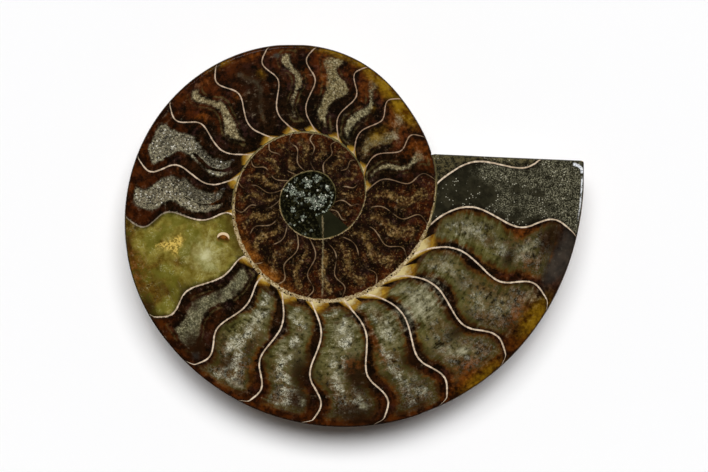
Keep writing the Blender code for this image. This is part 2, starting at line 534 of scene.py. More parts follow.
def nearest(points, line):
    """Distance from points to a polyline, the unit direction to it, and the place along it in steps."""
    start, span = line[:-1], np.diff(line, axis=0)
    away = points[:, None] - start
    share = np.clip((away * span).sum(-1) / (span**2).sum(-1), 0.0, 1.0)
    gap = away - share[..., None] * span
    length = np.linalg.norm(gap, axis=-1)
    best = length.argmin(axis=1)
    row = np.arange(len(points))
    closest = length[row, best]
    return closest, -gap[row, best] / np.maximum(closest, TINY)[:, None], best + share[row, best]


SAWN_GRID = 0.8
SAWN_GRID_CLEAR = 1.3  # how far the grid keeps from every edge
outline = on_saw(np.concatenate(body.points)[sawn_loop])
top_line = on_saw(last_turn["points"][-1])
flank_line = on_saw(flank_points[-1])
step_line = on_saw(flank_points[0])
navel_line = on_saw(navels[-1]["points"][-1])


def sawn_inside_places():
    """Places inside the sawn end: rows along its rounded edges, and a grid."""
    steps = RIM_STEPS[:-1]
    below = np.concatenate([top_line[1:-1] - (0.0, step) for step in steps])
    lean = np.gradient(flank_line, axis=0)
    lean /= np.linalg.norm(lean, axis=1)[:, None]
    inward = np.stack([-lean[:, 1], lean[:, 0]], axis=1)
    beside = np.concatenate([flank_line[2:-1] + step * inward[2:-1] for step in steps])
    low, high = outline.min(axis=0), outline.max(axis=0)
    across, up = np.meshgrid(np.arange(low[0], high[0], SAWN_GRID), np.arange(low[1], high[1], SAWN_GRID))
    across = across + (np.arange(len(up)) % 2)[:, None] * 0.5 * SAWN_GRID
    grid = np.stack([across.ravel(), up.ravel()], axis=1)
    kept = []
    for group, (first, others) in (
        (below, (top_line, (flank_line, step_line, navel_line))),
        (beside, (flank_line, (top_line, step_line, navel_line))),
        (grid, (None, (top_line, flank_line, step_line, navel_line))),
    ):
        own = np.full(len(group), SAWN_GRID_CLEAR) if first is None else nearest(group, first)[0]
        free = np.min([nearest(group, line)[0] for line in others], axis=0)
        group = group[free > np.maximum(own * 1.02, 0.03)]
        kept.append(group[np.array([winding_holds(place) for place in group], bool)])
    return np.concatenate(kept)


def winding_holds(place):
    """Whether a place lies inside the outline."""
    start, end = outline, np.roll(outline, -1, axis=0)
    spans = (start[:, 1] > place[1]) != (end[:, 1] > place[1])
    rise = np.where(spans, end[:, 1] - start[:, 1], 1.0)
    cross = start[:, 0] + (place[1] - start[:, 1]) / rise * (end[:, 0] - start[:, 0])
    return (spans & (cross > place[0])).sum() % 2 == 1


def build_sawn_end():
    """Fills the sawn end with triangles, and returns how far its inside points move in the rounding."""
    places = sawn_inside_places()
    flat = [Vector(place) for place in np.concatenate([outline, places]).tolist()]
    loop = list(range(len(outline)))
    _, _, faces, origin, _, _ = geometry.delaunay_2d_cdt(flat, [], [loop], 1, 1e-6)
    points = CORNER + places[:, :1] * SAW_ALONG
    points[:, 2] = places[:, 1]
    ids = np.concatenate([sawn_loop, body.add_points(points)])
    side, direction, step = nearest(places, flank_line)
    side_out = direction[:, :1] * SAW_ALONG + direction[:, 1:] * UP
    fade = smooth(step / FLANK_FADE_ROWS)
    moved = rounded(THICKNESS - places[:, 1], side, side_out, np.zeros(len(places)), fade)
    everywhere = np.concatenate([outline, places])
    samples = body.add_samples(
        ids,
        lay_x=nearest(everywhere, np.concatenate([navel_line[:-1], flank_line]))[0],
        lay_y=THICKNESS - everywhere[:, 1],
        lay_z=everywhere[:, 0],
    )
    corners = [[samples[origin[vertex][0]] for vertex in face] for face in faces]
    first = everywhere[[origin[vertex][0] for vertex in faces[0]]]
    order = 1 if np.cross(first[1] - first[0], first[2] - first[0]) < 0 else -1
    body.add_faces([[int(corner) for corner in face[::order]] for face in corners], SAWN)
    return moved


moves = np.concatenate([moves, build_sawn_end()])

# ---- what lies where on the cut face
# One row a chamber, by the growth angle of the septum before it. The core is the pale filling inside the
# dark lining: its middle and half width as shares of the chamber, and its two ends in t. Then grain,
# green, warm, value, red, and how far the filling stands open as a pocket of crystals.
CHAMBERS = {
    731: (0.47, 0.10, 0.08, 0.88, 1.0, 0.5, 0.6, 0.65, 0.5, 0.0),
    751: (0.48, 0.17, 0.08, 0.84, 0.8, 0.3, 1.0, 0.32, 1.0, 0.0),
    771: (0.52, 0.18, 0.10, 0.90, 1.0, 0.6, 0.5, 0.80, 0.95, 0.0),
    790: (0.50, 0.27, 0.08, 0.92, 1.0, 0.5, 0.75, 0.60, 0.9, 0.0),
    812: (0.48, 0.11, 0.15, 0.90, 1.0, 0.2, 0.6, 0.70, 0.7, 0.0),
    830: (0.50, 0.10, 0.20, 0.80, 0.6, 0.0, 0.1, 0.08, 0.6, 0.0),
    849: (0.47, 0.11, 0.14, 0.90, 1.0, 0.2, 0.6, 0.75, 0.8, 0.0),
    870: (0.50, 0.25, 0.12, 0.93, 1.0, 0.0, 0.1, 0.85, 0.5, 1.0),
    890: (0.51, 0.27, 0.10, 0.93, 1.0, 0.0, 0.15, 0.80, 0.6, 1.0),
    909: (0.50, 0.70, -0.2, 1.20, 0.3, 1.0, 0.8, 0.8, 0.2, 0.0),
    939: (0.44, 0.24, 0.08, 0.90, 0.85, 0.8, 0.2, 0.52, 0.4, 0.0),
    956: (0.45, 0.41, 0.05, 0.96, 0.25, 0.4, 0.2, 0.66, 0.5, 0.0),
    974: (0.46, 0.41, 0.05, 0.95, 0.2, 0.5, 0.2, 0.62, 0.6, 0.0),
    991: (0.49, 0.43, 0.05, 0.95, 0.1, 0.5, 0.2, 0.60, 0.6, 0.0),
    1009: (0.50, 0.42, 0.05, 0.97, 0.15, 0.7, 0.2, 0.58, 0.5, 0.0),
    1025: (0.52, 0.45, 0.05, 0.92, 0.0, 0.3, 0.15, 0.66, 0.5, 0.0),
    1042: (0.52, 0.41, 0.06, 0.89, 0.0, 0.6, 0.5, 0.48, 0.5, 0.0),
    1058: (0.53, 0.43, 0.05, 0.89, 0.0, 0.8, 0.2, 0.46, 0.7, 0.0),
}
INNER_CHAMBER = (0.50, 0.17, 0.10, 0.90, 1.0, 0.15, 0.9, 0.20, 0.8, 0.0)
NUMBER = {int(angle): number for number, angle in enumerate(SEPTA)}
STYLE = np.array([CHAMBERS.get(int(angle), INNER_CHAMBER) for angle in SEPTA])
LAST_CHAMBER = NUMBER[1074]
# Single marks on the cut face, by kind: growth angle, t, half length along the coil and half height across
# it in millimetres, and strength.
MARKS = {
    "pale": (
        (965, 0.32, 1.6, 2.6, 0.6), (961, 0.62, 1.2, 1.6, 0.4), (968, 0.87, 1.6, 1.2, 0.4),
        (980, 0.16, 1.0, 0.7, 0.6), (978, 0.44, 1.0, 3.4, 0.4), (987, 0.83, 0.7, 0.8, 0.7),
        (1003.5, 0.84, 0.9, 0.7, 0.9), (998, 0.55, 0.8, 5.0, 0.5), (1003, 0.22, 3.0, 1.8, 0.5),
        (1018, 0.30, 3.0, 3.4, 0.4), (1034, 0.31, 5.0, 2.6, 0.7), (1034, 0.74, 1.0, 0.6, 1.2),
        (1036, 0.22, 4.0, 0.8, 0.4), (1051, 0.20, 4.5, 1.2, 0.35), (1055, 0.85, 1.6, 1.6, 0.4),
        (1067, 0.27, 4.5, 1.2, 0.35), (1067, 0.70, 1.4, 1.2, 0.6), (757, 0.62, 1.4, 0.6, 0.5),
        (762, 0.80, 1.2, 1.0, 0.4),
    ),
    "dark": (
        (934, 0.97, 4.0, 1.6, 0.7), (914, 0.97, 3.0, 0.8, 0.6), (936, 0.62, 2.4, 3.0, 0.5),
        (930, 0.80, 3.0, 1.5, 0.4), (951.5, 0.84, 2.6, 2.4, 1.0), (950, 0.28, 0.6, 0.8, 0.8),
        (963, 0.76, 1.6, 2.2, 0.6), (967, 0.55, 1.0, 2.2, 0.5), (986, 0.60, 2.2, 3.6, 0.8),
        (986, 0.84, 2.4, 2.0, 0.7), (983, 0.40, 0.8, 0.8, 0.5), (1004, 0.60, 2.4, 3.4, 1.0),
        (1001, 0.90, 4.5, 2.4, 0.9), (1022, 0.60, 2.6, 1.8, 0.9), (1016, 0.92, 4.0, 1.4, 0.6),
        (1013, 0.66, 2.0, 1.6, 0.4), (1020, 0.78, 3.0, 1.2, 0.4), (1037, 0.60, 4.0, 1.4, 0.7),
        (1047, 0.86, 2.0, 2.0, 0.6), (1050, 0.40, 3.0, 2.0, 0.4), (1069, 0.82, 3.0, 2.4, 0.9),
        (1063, 0.60, 2.2, 1.2, 0.8), (1072, 0.86, 1.6, 1.6, 0.5), (838, 0.75, 2.4, 3.2, 0.5),
        (840, 0.40, 3.0, 4.0, 0.7), (893, 0.55, 1.0, 0.8, 1.2), (946, 0.40, 0.8, 1.2, 0.7),
        (943, 0.62, 0.9, 1.0, 0.6), (480, 0.55, 2.0, 1.6, 0.4),
    ),
    "rust": (
        (922, 0.95, 5.0, 1.4, 0.8), (970, 0.70, 1.0, 3.0, 0.7), (1003, 0.50, 3.2, 1.6, 0.7),
        (1013, 0.38, 0.8, 5.5, 0.9), (1032, 0.86, 3.5, 2.2, 0.8), (1029, 0.93, 2.0, 1.2, 0.7),
        (1051, 0.84, 4.0, 2.0, 0.7), (1055, 0.60, 2.4, 2.4, 0.4), (1071, 0.62, 2.4, 1.6, 1.0),
        (1062, 0.75, 2.6, 1.4, 0.5), (772, 0.84, 5.0, 1.6, 0.6), (805, 0.65, 1.2, 2.4, 0.8),
        (794, 0.85, 1.2, 1.6, 0.6), (814, 0.70, 1.0, 2.0, 0.5), (847, 0.60, 1.0, 1.2, 0.8),
        (865.5, 0.64, 1.5, 1.1, 1.1), (853, 0.90, 2.0, 1.0, 0.7), (833, 0.93, 3.0, 1.0, 0.8),
        (902, 0.17, 2.0, 0.8, 0.6), (888, 0.60, 0.8, 0.8, 0.5), (742, 0.92, 2.0, 1.0, 0.6),
        (785, 0.76, 1.4, 3.0, 0.9), (760, 0.72, 3.0, 2.0, 0.8), (806, 0.90, 1.4, 1.4, 0.8),
        (745, 0.78, 2.0, 2.4, 0.7), (560, 0.95, 3.0, 1.2, 0.6), (462, 0.90, 3.0, 1.0, 0.7),
        (490, 0.92, 2.6, 1.2, 0.6),
    ),
    "amber": (
        (918.5, 0.60, 0.9, 2.0, 1.0), (917.8, 0.52, 1.1, 0.9, 0.8), (921.3, 0.57, 1.0, 0.7, 0.8),
        (917.5, 0.70, 0.4, 1.1, 0.7), (1033, 0.97, 5.5, 1.6, 0.7), (1027, 0.50, 1.4, 4.0, 0.3),
        (1052, 0.95, 5.0, 2.2, 0.9), (765, 0.94, 4.0, 1.7, 1.1), (778, 0.95, 4.0, 1.6, 1.1),
        (764, 0.42, 1.4, 3.0, 0.6), (800, 0.98, 7.0, 1.0, 0.8), (776, 0.62, 0.8, 1.0, 0.5),
        (833, 0.72, 1.0, 1.2, 0.5), (846, 0.97, 3.0, 0.7, 0.6), (584, 0.95, 5.0, 1.4, 0.9),
        (606, 0.92, 4.0, 1.4, 0.7),
    ),
    "grey": (
        (953.5, 0.90, 0.8, 0.8, 0.9), (1069, 0.97, 7.0, 2.4, 1.2), (1063, 0.90, 3.4, 1.6, 0.8),
        (824.5, 0.88, 0.7, 0.6, 1.0),
    ),
}
# Half widths of the wall between whorls, by the growth angle of the wall.
WALL_HALF = (
    (-50, 0.0), (-40, 0.08), (100, 0.10), (360, 0.13), (400, 0.15), (450, 0.20), (520, 0.22), (545, 0.30),
    (572, 0.40), (600, 0.42), (640, 0.42), (675, 0.46), (700, 0.34), (722, 0.20), (735, 0.18), (760, 0.15),
)

WEDGE_FROM, WEDGE_TO = 281.0, 319.0  # smooth dark calcite, just before the first septa
WEDGE_EDGE_DEG = 3.0
# Clumps of bright crystals in the open middle: place from the axis, reach and strength.
CENTRE_CLUMPS = (
    (-1.6, 3.3, 1.9, 0.6), (-5.0, 1.6, 1.3, 0.8), (2.6, -1.0, 1.3, 1.4), (-0.8, -0.8, 1.3, 0.4),
    (-4.4, -2.8, 1.1, 0.5), (0.9, 4.2, 1.0, 0.5), (2.9, 2.0, 0.7, 0.8), (-2.4, -4.6, 0.7, 0.7),
    (0.9, -2.2, 0.9, 0.7), (-3.0, 0.4, 1.4, 0.6),
)
OPEN_CORE, FULL_CORE, EMPTY_CORE = 2.0, 4.5, -3.0  # how far inside the lining, at most and at least
CORE_BLEND = 0.9
WIDTH_VARIES, GRAINED_WIDTH_VARIES = 0.3, 0.6
CORE_MOTTLE, CORE_MOTTLE_SIZE = 0.35, 2.4
RIDGE_MOTTLE, RIDGE_MOTTLE_SIZE = 0.8, 5.0
CENTRE_MOTTLE, CENTRE_MOTTLE_SIZE, CENTRE_BASE, CENTRE_BRIGHTEST = 1.1, 0.8, 0.06, 1.2
MARK_FALL = 0.7
RIDGE_REACH = 6.0
VEIN = ((0.1, 0.4), (0.25, 0.7), (0.4, 0.75), (0.6, 0.9), (0.85, 1.1))  # t, and the width of vein 790
STRAND_BELOW_T, STRAND_BLEND, STRAND_WIDER = 0.54, 0.06, 0.25
DARK_BAND_TO, DARK_BAND_BLEND = 0.56, 0.05
SPLIT_AT, SPLIT_HALF, SPLIT_DEPTH = 0.58, 0.35, 2.2
TURNED_BY, MOVED_BY = 0.2, 0.03
LAST_WALL_TO = 740.0


def smooth_least(a, b, reach):
    """The smaller of a and b, blended over reach."""
    share = np.clip(0.5 + 0.5 * (b - a) / reach, 0.0, 1.0)
    return b * (1 - share) + a * share - reach * share * (1 - share)


def chamber_scale(growth, radius, chamber):
    """How many millimetres one step of the chamber coordinate takes at a place."""
    turned = chamber_coordinate(growth + TURNED_BY, radius) - chamber
    across = turned / np.radians(TURNED_BY) / np.maximum(radius, 0.5)
    along = (chamber_coordinate(growth, radius + MOVED_BY) - chamber) / MOVED_BY
    return 1.0 / np.maximum(np.hypot(across, along), 1e-3)


def chamber_filling(number, share, t, mm, height, x, y):
    """A chamber's filling at places that lie this share of the way to the next septum.

    Returns how far a place lies inside the dark lining, how far it is from the filling's middle line,
    and the style values that the material reads.
    """
    middle, half, low, high, grain, green, warm, value, red, pocket = np.moveaxis(STYLE[number], -1, 0)
    varies = np.where((grain > 0.9) & (number > NUMBER[709]), GRAINED_WIDTH_VARIES, WIDTH_VARIES)
    half = half * (1.0 + varies * noise(t * 5.0 + 7.7 * number, number * 3.1, SEED + 9))
    half = np.where(number == NUMBER[790], half * np.interp(t, *np.array(VEIN).T), half)
    druse = (number == NUMBER[870]) | (number == NUMBER[890])
    # The lower half of each druse is a bright strand beside a darker band, with a dark split between.
    low_part = smooth((STRAND_BELOW_T - t) / STRAND_BLEND) * druse
    value = value * (1.0 - 0.6 * low_part * smooth((DARK_BAND_TO - share) / DARK_BAND_BLEND))
    half = half * (1.0 + STRAND_WIDER * low_part)
    split = low_part * np.exp(-(((share - SPLIT_AT) * mm / SPLIT_HALF) ** 2))
    across = (half - np.abs(share - middle)) * mm
    core = smooth_least(across, np.minimum(t - low, high - t) * height, CORE_BLEND)
    core = core + CORE_MOTTLE * clouds(x, y, CORE_MOTTLE_SIZE, SEED + 20) - SPLIT_DEPTH * split
    core = np.clip(core, EMPTY_CORE, FULL_CORE)
    ridge = (share - middle) * mm + RIDGE_MOTTLE * clouds(x, y, RIDGE_MOTTLE_SIZE, SEED + 22)
    ridge = np.clip(ridge, -RIDGE_REACH, RIDGE_REACH)
    return core, ridge, grain, green, warm, value, red, pocket


def centre_brightness(x, y):
    """How bright the crystals in the coil's open middle are."""
    clumps = CENTRE_MOTTLE * clouds(x, y, CENTRE_MOTTLE_SIZE, SEED + 44) + CENTRE_BASE
    for clump_x, clump_y, reach, strength in CENTRE_CLUMPS:
        clumps = clumps + strength * np.exp(-((x - clump_x) ** 2 + (y - clump_y) ** 2) / reach**2)
    return np.clip(clumps, 0.0, CENTRE_BRIGHTEST)


def mark_strengths(growth, radius, t, height):
    """How strongly each kind of hand-placed mark shows."""
    strengths = {}
    for kind, rows in MARKS.items():
        strengths[kind] = np.zeros_like(t)
        for at, share, long, tall, strength in rows:
            near = ((growth - at) / np.degrees(long) * radius) ** 2 + ((t - share) * height / tall) ** 2
            strengths[kind] = strengths[kind] + strength * np.exp(-near * MARK_FALL)
    return strengths


def look(growth, radius):
    """Everything the cut face's material is told about places on it."""
    inner, outer = outer_radius(growth - TURN), outer_radius(growth)
    height = outer - inner
    t = (radius - inner) / height
    turned = np.radians(growth)
    x, y = radius * np.cos(turned), radius * np.sin(turned)
    chamber = chamber_coordinate(growth, radius)
    mm = chamber_scale(growth, radius, chamber)
    number = np.clip(np.floor(chamber), 0, len(STYLE) - 1).astype(int)
    filling = chamber_filling(number, chamber - number, t, mm, height, x, y)
    core, ridge, grain, green, warm, value, red, pocket = filling
    wall_in = np.interp(growth - TURN, *np.array(WALL_HALF).T)
    wall_out = np.where(growth > LAST_WALL_TO, 0.0, np.interp(growth, *np.array(WALL_HALF).T))
    # The coil's middle is open right up to its walls, but for the wedge.
    centre = growth < WEDGE_TO
    wedge = np.where(centre & (t > -0.02), (growth - WEDGE_FROM) / WEDGE_EDGE_DEG, 0.0)
    from_wall = np.minimum(np.where(wall_in > 0, t * height - wall_in, FAR), (1 - t) * height - wall_out)
    core = np.where(centre, np.minimum(from_wall, OPEN_CORE), core)
    core = np.where(number >= LAST_CHAMBER, EMPTY_CORE, core)
    pocket = np.where(centre, np.where(wedge > 0, 0.0, 1.0), pocket)
    value = np.where(centre, centre_brightness(x, y), value)
    marks = mark_strengths(growth, radius, t, height)
    return {
        "mark_x": marks["pale"], "mark_y": marks["dark"], "mark_z": marks["rust"],
        "note_x": marks["amber"], "note_y": marks["grey"],
        "lay_x": chamber, "lay_y": t, "lay_z": mm,
        "zone_x": core, "zone_y": height, "zone_z": pocket,
        "tint_x": green, "tint_y": warm, "tint_z": value,
        "rust_x": red, "rust_y": ridge, "rust_z": grain,
        "wall_x": wall_in, "wall_y": wall_out, "wall_z": np.where(centre, 1.0 + np.clip(wedge, 0, 1), 0.0),
    }


POCKET_DEPTH, POCKET_DEPTH_VARIES, POCKET_HUMPS = 0.42, 0.2, 1.6
POCKET_SLOPE_FROM, POCKET_SLOPE = 0.05, 0.80


def open_at(values):
    """0 on the polish and 1 on the floor of a pocket."""
    if "zone_z" not in values:
        return np.zeros(len(values["lay_x"]))
    return smooth((values["zone_x"] - POCKET_SLOPE_FROM) / POCKET_SLOPE) * values["zone_z"]


def pocket_depth(values, x, y):
    """How deep the open pockets of crystals lie below the polish."""
    return open_at(values) * (POCKET_DEPTH + POCKET_DEPTH_VARIES * clouds(x, y, POCKET_HUMPS, SEED + 40))


reliefs = []  # (vertices, how far each lies below the polish)
for turn in turns:
    growth, radius, ids = turn["growth"], turn["radius"], turn["ids"]
    values = look(growth, radius)
    samples = body.add_samples(ids, **values)
    x, y = turn["points"][..., 0], turn["points"][..., 1]
    reliefs.append((ids, pocket_depth(values, x, y)))
    if turn is last_turn:
        body.add_faces(strip_quads(samples, True), FACE)
        continue
    body.add_faces(strip_quads(samples[:-1], True), FACE)
    # The last strip meets a column with twice the rows, so its faces have five corners.
    next_ids = turns[turn["turn"] + 1]["ids"][0, 1::2]
    between = {key: (value[-1, 1:] + value[-1, :-1]) / 2 for key, value in values.items()}
    extra = body.add_samples(next_ids, **between)
    end, before = samples[-1], samples[-2]
    body.add_faces(np.stack([before[:-1], before[1:], end[1:], extra, end[:-1]], axis=1), FACE)


FIRST_RING_DEG = SAWN_COLUMN_DEG + TURN


def middle_loop(turn, last_growth):
    """The loop of vertices round the open middle of the first turn, and their growth angles."""
    ids = turn["ids"]
    ring = np.concatenate([ids[:, 0], ids[0, -2:0:-1]])
    growth = np.concatenate([turn["growth"][:, 0], np.full(ids.shape[1] - 2, FIRST_RING_DEG)])
    return ring, np.minimum(growth, last_growth)


def fan(ring, ring_growth, on_face):
    """Rings of faces that close the middle of the coil inside a loop of vertices."""
    kind = FACE if on_face else SHELL
    placed = np.concatenate(body.points)[ring]
    middle = np.array([0.0, 0.0, placed[:, 2].mean()])
    rows = [ring] + [body.add_points(middle + (placed - middle) * share) for share in CENTRE_RINGS]
    tip = body.add_points(middle[None])
    grid = np.array(rows)
    x, y, _ = np.moveaxis(np.concatenate(body.points)[grid], -1, 0)
    growth, radius = np.broadcast_to(ring_growth, grid.shape), np.hypot(x, y)
    values = face_fan_values(growth, radius) if on_face else shell_values(growth, radius)
    samples = body.add_samples(grid, **values)
    tip_sample = int(body.add_samples(tip, **{key: value[-1, :1] for key, value in values.items()})[0])
    closed = np.concatenate([samples, samples[:, :1]], axis=1)
    body.add_faces(strip_quads(closed, on_face), kind)
    if on_face:
        reliefs.append((grid, pocket_depth(values, x, y)))
    last = closed[-1].tolist()
    for a, b in zip(last[:-1], last[1:]):
        body.add_faces([[tip_sample, a, b] if on_face else [tip_sample, b, a]], kind)


def face_fan_values(growth, radius):
    """What the material is told about the face's middle, which is all open pocket."""
    values = look(np.minimum(growth, WEDGE_FROM - 1.0), radius)
    values["zone_x"] = np.full(radius.shape, OPEN_CORE)
    return values


STORED_DEG = 10.0  # the shell's growth angles are stored in this many degrees


def shell_values(growth, radius):
    """The stored growth angle, the share of the way from seam to rim, and the whorl's height."""
    height = outer_radius(growth) - seam_radius(growth)
    return {"lay_x": growth / STORED_DEG, "lay_y": share_of_flank(growth, radius), "lay_z": height}


fan(*middle_loop(turns[0], FIRST_RING_DEG), True)

for turn in navels:
    samples = body.add_samples(turn["ids"], **shell_values(turn["growth"], turn["radius"]))
    body.add_faces(strip_quads(samples, False), SHELL)
samples = body.add_samples(flank_ids, **shell_values(flank_growth, flank_radii))
body.add_faces(strip_quads(samples, False), SHELL)
fan(*middle_loop(navels[0], END_DEG), False)

# ---- ribs of the shell, and the mesh
RIB_DEPTH = 0.16
RIBS_PER_TURN = 54
RIB_BOW_DEG, RIB_LEAN_DEG, RIB_WANDER_DEG = 7.0, 5.0, 1.6
RIBS_CLEAR_OF_RIM, RIB_FADE = 0.8, 2.0


def rib_drop(growth, radius):
    """How far the shell between its growth ribs lies below their crests."""
    along = share_of_flank(growth, radius)
    swept = growth - RIB_BOW_DEG * np.sin(2 * np.pi * np.clip(along, 0, 1)) - RIB_LEAN_DEG * along**2
    swept = swept + RIB_WANDER_DEG * noise(growth / 17.0, along * 2.0, SEED + 60)
    wave = 0.5 - 0.5 * np.cos(np.radians(swept * RIBS_PER_TURN))
    strength = smooth(along / 0.25) * (0.6 + 0.4 * noise(growth / 23.0, along * 3.0, SEED + 61))
    return RIB_DEPTH * wave * strength * np.clip(radius / 25.0, 0.15, 1.0)


points = np.concatenate(body.points)
moves = np.concatenate([moves, np.zeros((body.count - len(moves), 3))])
for turn in navels:
    drop = rib_drop(turn["growth"], turn["radius"])
    moves[turn["ids"][:, :-1]] += (drop[..., None] * UP)[:, :-1]
below_rim = THICKNESS - flank_points[..., 2] - RIBS_CLEAR_OF_RIM
drop = rib_drop(flank_growth, flank_radii) * smooth(below_rim / RIB_FADE)
moves[flank_ids] += -drop[..., None] * flank_normals
for ids, drop in reliefs:
    moves[ids, 2] -= drop

edge_low = np.concatenate([last_turn["points"][:, -1], last_turn["points"][-1]]).min(axis=0)
# The part's frame has its origin at the middle of its box, on the underside.
SHIFT = np.array([CAD_LOW[0], CAD_LOW[1], CAD_HIGH[2]]) / MM - (edge_low[0], edge_low[1], THICKNESS)
places = np.clip((points + moves + SHIFT) * MM, CAD_LOW, CAD_HIGH)

OPEN_FROM = 0.02
DULL_BELOW = 0.03  # faces that dip further than this below the polish are dull: pockets and the rounded rim
corners = np.array([corner for face in body.faces for corner in face])
sizes = np.array([len(face) for face in body.faces])
starts = np.cumsum(sizes) - sizes
corner_vertices = np.concatenate([vertex for vertex, _ in body.samples])[corners]


def corner_values(value_of):
    """A value of the samples, at every face corner."""
    return np.concatenate([value_of(values) for _, values in body.samples])[corners]


def corner_parts(name):
    """A named vector of the samples as its three parts, 0 where it isn't given."""
    keys = [f"{name}_{axis}" for axis in "xyz"]
    return [corner_values(lambda values: values.get(key, 0.0 * values["lay_x"])) for key in keys]


kinds = np.array(body.kinds)
most_open = np.maximum.reduceat(corner_values(open_at), starts)
lowest = np.minimum.reduceat(places[corner_vertices, 2], starts)
dull = (most_open > OPEN_FROM) | (lowest < CAD_HIGH[2] - DULL_BELOW * MM)
# A smooth normal also leans on the faces next to those, so they are dull too.
touched = np.zeros(len(places), bool)
touched[corner_vertices[np.repeat(dull, sizes)]] = True
dull = np.logical_or.reduceat(touched[corner_vertices], starts)
kinds[(kinds == FACE) & dull] = POCKET

mesh = bpy.data.meshes.new("ammonite_body")
mesh.from_pydata(places.tolist(), [], [])
mesh.loops.add(len(corners))
mesh.polygons.add(len(sizes))
mesh.loops.foreach_set("vertex_index", corner_vertices)
mesh.polygons.foreach_set("loop_start", starts)
mesh.polygons.foreach_set("loop_total", sizes)
mesh.polygons.foreach_set("material_index", kinds)
mesh.polygons.foreach_set("use_smooth", np.ones(len(sizes), bool))
mesh.update(calc_edges=True)
mesh.validate(verbose=True)
for name in ("lay", "zone", "tint", "rust", "wall", "mark", "note"):
    layer = mesh.attributes.new(name, "FLOAT_VECTOR", "CORNER")
    layer.data.foreach_set("vector", np.stack(corner_parts(name), axis=1).ravel())

# ---- the bake map
FACE_MAP = 0.0069  # of the map's width for each millimetre of the cut face
BACK_MAP = 0.0032
MAP_GAP = 0.01
BACK_MIDDLE = (0.22, 0.80)
SAWN_CORNER = (0.56, 0.62)
FOLDED_FROM_DEG = 720.0


def flat_map(places):
    """The cut face and what stands in it, seen from above."""
    return (places[:, :2] - np.array(CAD_LOW[:2])) / MM * FACE_MAP + MAP_GAP


def bake_places():
    """Where each face corner lies on the map: the face and back flat, and the saw cut square on."""
    at = places[corner_vertices]
    local = at / MM - SHIFT
    radius = np.hypot(local[:, 0], local[:, 1])
    turn, along, across = corner_parts("lay")
    # The shell's steep outer wall is folded outwards, so that it has some width.
    folded = np.where(along > SHOULDER_AT, at[:, 2] / MM, 0.0) * (turn * STORED_DEG > FOLDED_FROM_DEG)
    spread = (1.0 + folded / np.maximum(radius, 1.0))[:, None]
    back = local[:, :2] * spread * BACK_MAP * (-1.0, 1.0) + BACK_MIDDLE
    sawn = np.stack([across, along], axis=1) * FACE_MAP + SAWN_CORNER
    kind = np.repeat(kinds, sizes)[:, None]
    return np.where(kind == SAWN, sawn, np.where(kind == SHELL, back, flat_map(at)))


def set_map(piece_mesh, uv):
    """Gives a piece its bake map, named OFBake."""
    bake_map = piece_mesh.uv_layers.new(name="OFBake", do_init=False)
    bake_map.uv.foreach_set("vector", uv.astype(np.float32).ravel())


set_map(mesh, bake_places())
stone = bpy.data.objects.new("ammonite_body", mesh)
bpy.context.scene.collection.objects.link(stone)
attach(stone, "root")
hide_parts("ammonite_half")

# ---- crystals in the open pockets
CRYSTAL_SPACING = 0.34
CRYSTAL_SHIFT = 0.45  # how far crystals stray from an even grid, as a share of the spacing
CRYSTAL_RADIUS = (0.13, 0.30)
CRYSTAL_HEIGHT = (0.9, 2.0)  # in radii
CRYSTAL_LEAN = 0.55
CLEAR_OF_POLISH = 0.05
CRYSTALS_BEFORE = 960.0
OPEN_ENOUGH, DEEP_ENOUGH, BRIGHT_ENOUGH = 0.45, 0.16, 0.55
SIDES = 4
POINTS_EACH = SIDES + 2


def growth_at(x, y):
    """The growth angle of the whorl that passes through a place on the face."""
    angle = np.degrees(np.arctan2(y, x)) % TURN
    radius = np.hypot(x, y)
    growth = angle
    for _ in range(TURNS):
        growth = np.where(outer_radius(growth) < radius, growth + TURN, growth)
    in_middle = (growth < TURN) & ((radius < outer_radius(growth - TURN)) | (growth < WEDGE_FROM))
    return np.where(in_middle, np.minimum(growth, WEDGE_FROM - 1.0), growth)


def crystal_places(random):
    """Places on the floors of the open pockets, their depth, and what the material is told about them."""
    reach = float(outer_radius(END_DEG))
    steps = np.arange(-reach, reach, CRYSTAL_SPACING)
    x, y = (axis.ravel() for axis in np.meshgrid(steps, steps))
    x = x + random.uniform(-CRYSTAL_SHIFT, CRYSTAL_SHIFT, x.size) * CRYSTAL_SPACING
    y = y + random.uniform(-CRYSTAL_SHIFT, CRYSTAL_SHIFT, y.size) * CRYSTAL_SPACING
    radius = np.hypot(x, y)
    growth = growth_at(x, y)
    within = (radius < outer_radius(growth)) & (growth < CRYSTALS_BEFORE)
    x, y, radius, growth = x[within], y[within], radius[within], growth[within]
    values = look(growth, radius)
    depth = pocket_depth(values, x, y)
    keep = (open_at(values) > OPEN_ENOUGH) & (depth > DEEP_ENOUGH)
    bright = values["tint_z"] + random.uniform(-0.2, 0.2, len(x)) > BRIGHT_ENOUGH
    keep &= (values["wall_z"] <= 0.5) | bright
    return x[keep], y[keep], depth[keep], {key: value[keep] for key, value in values.items()}


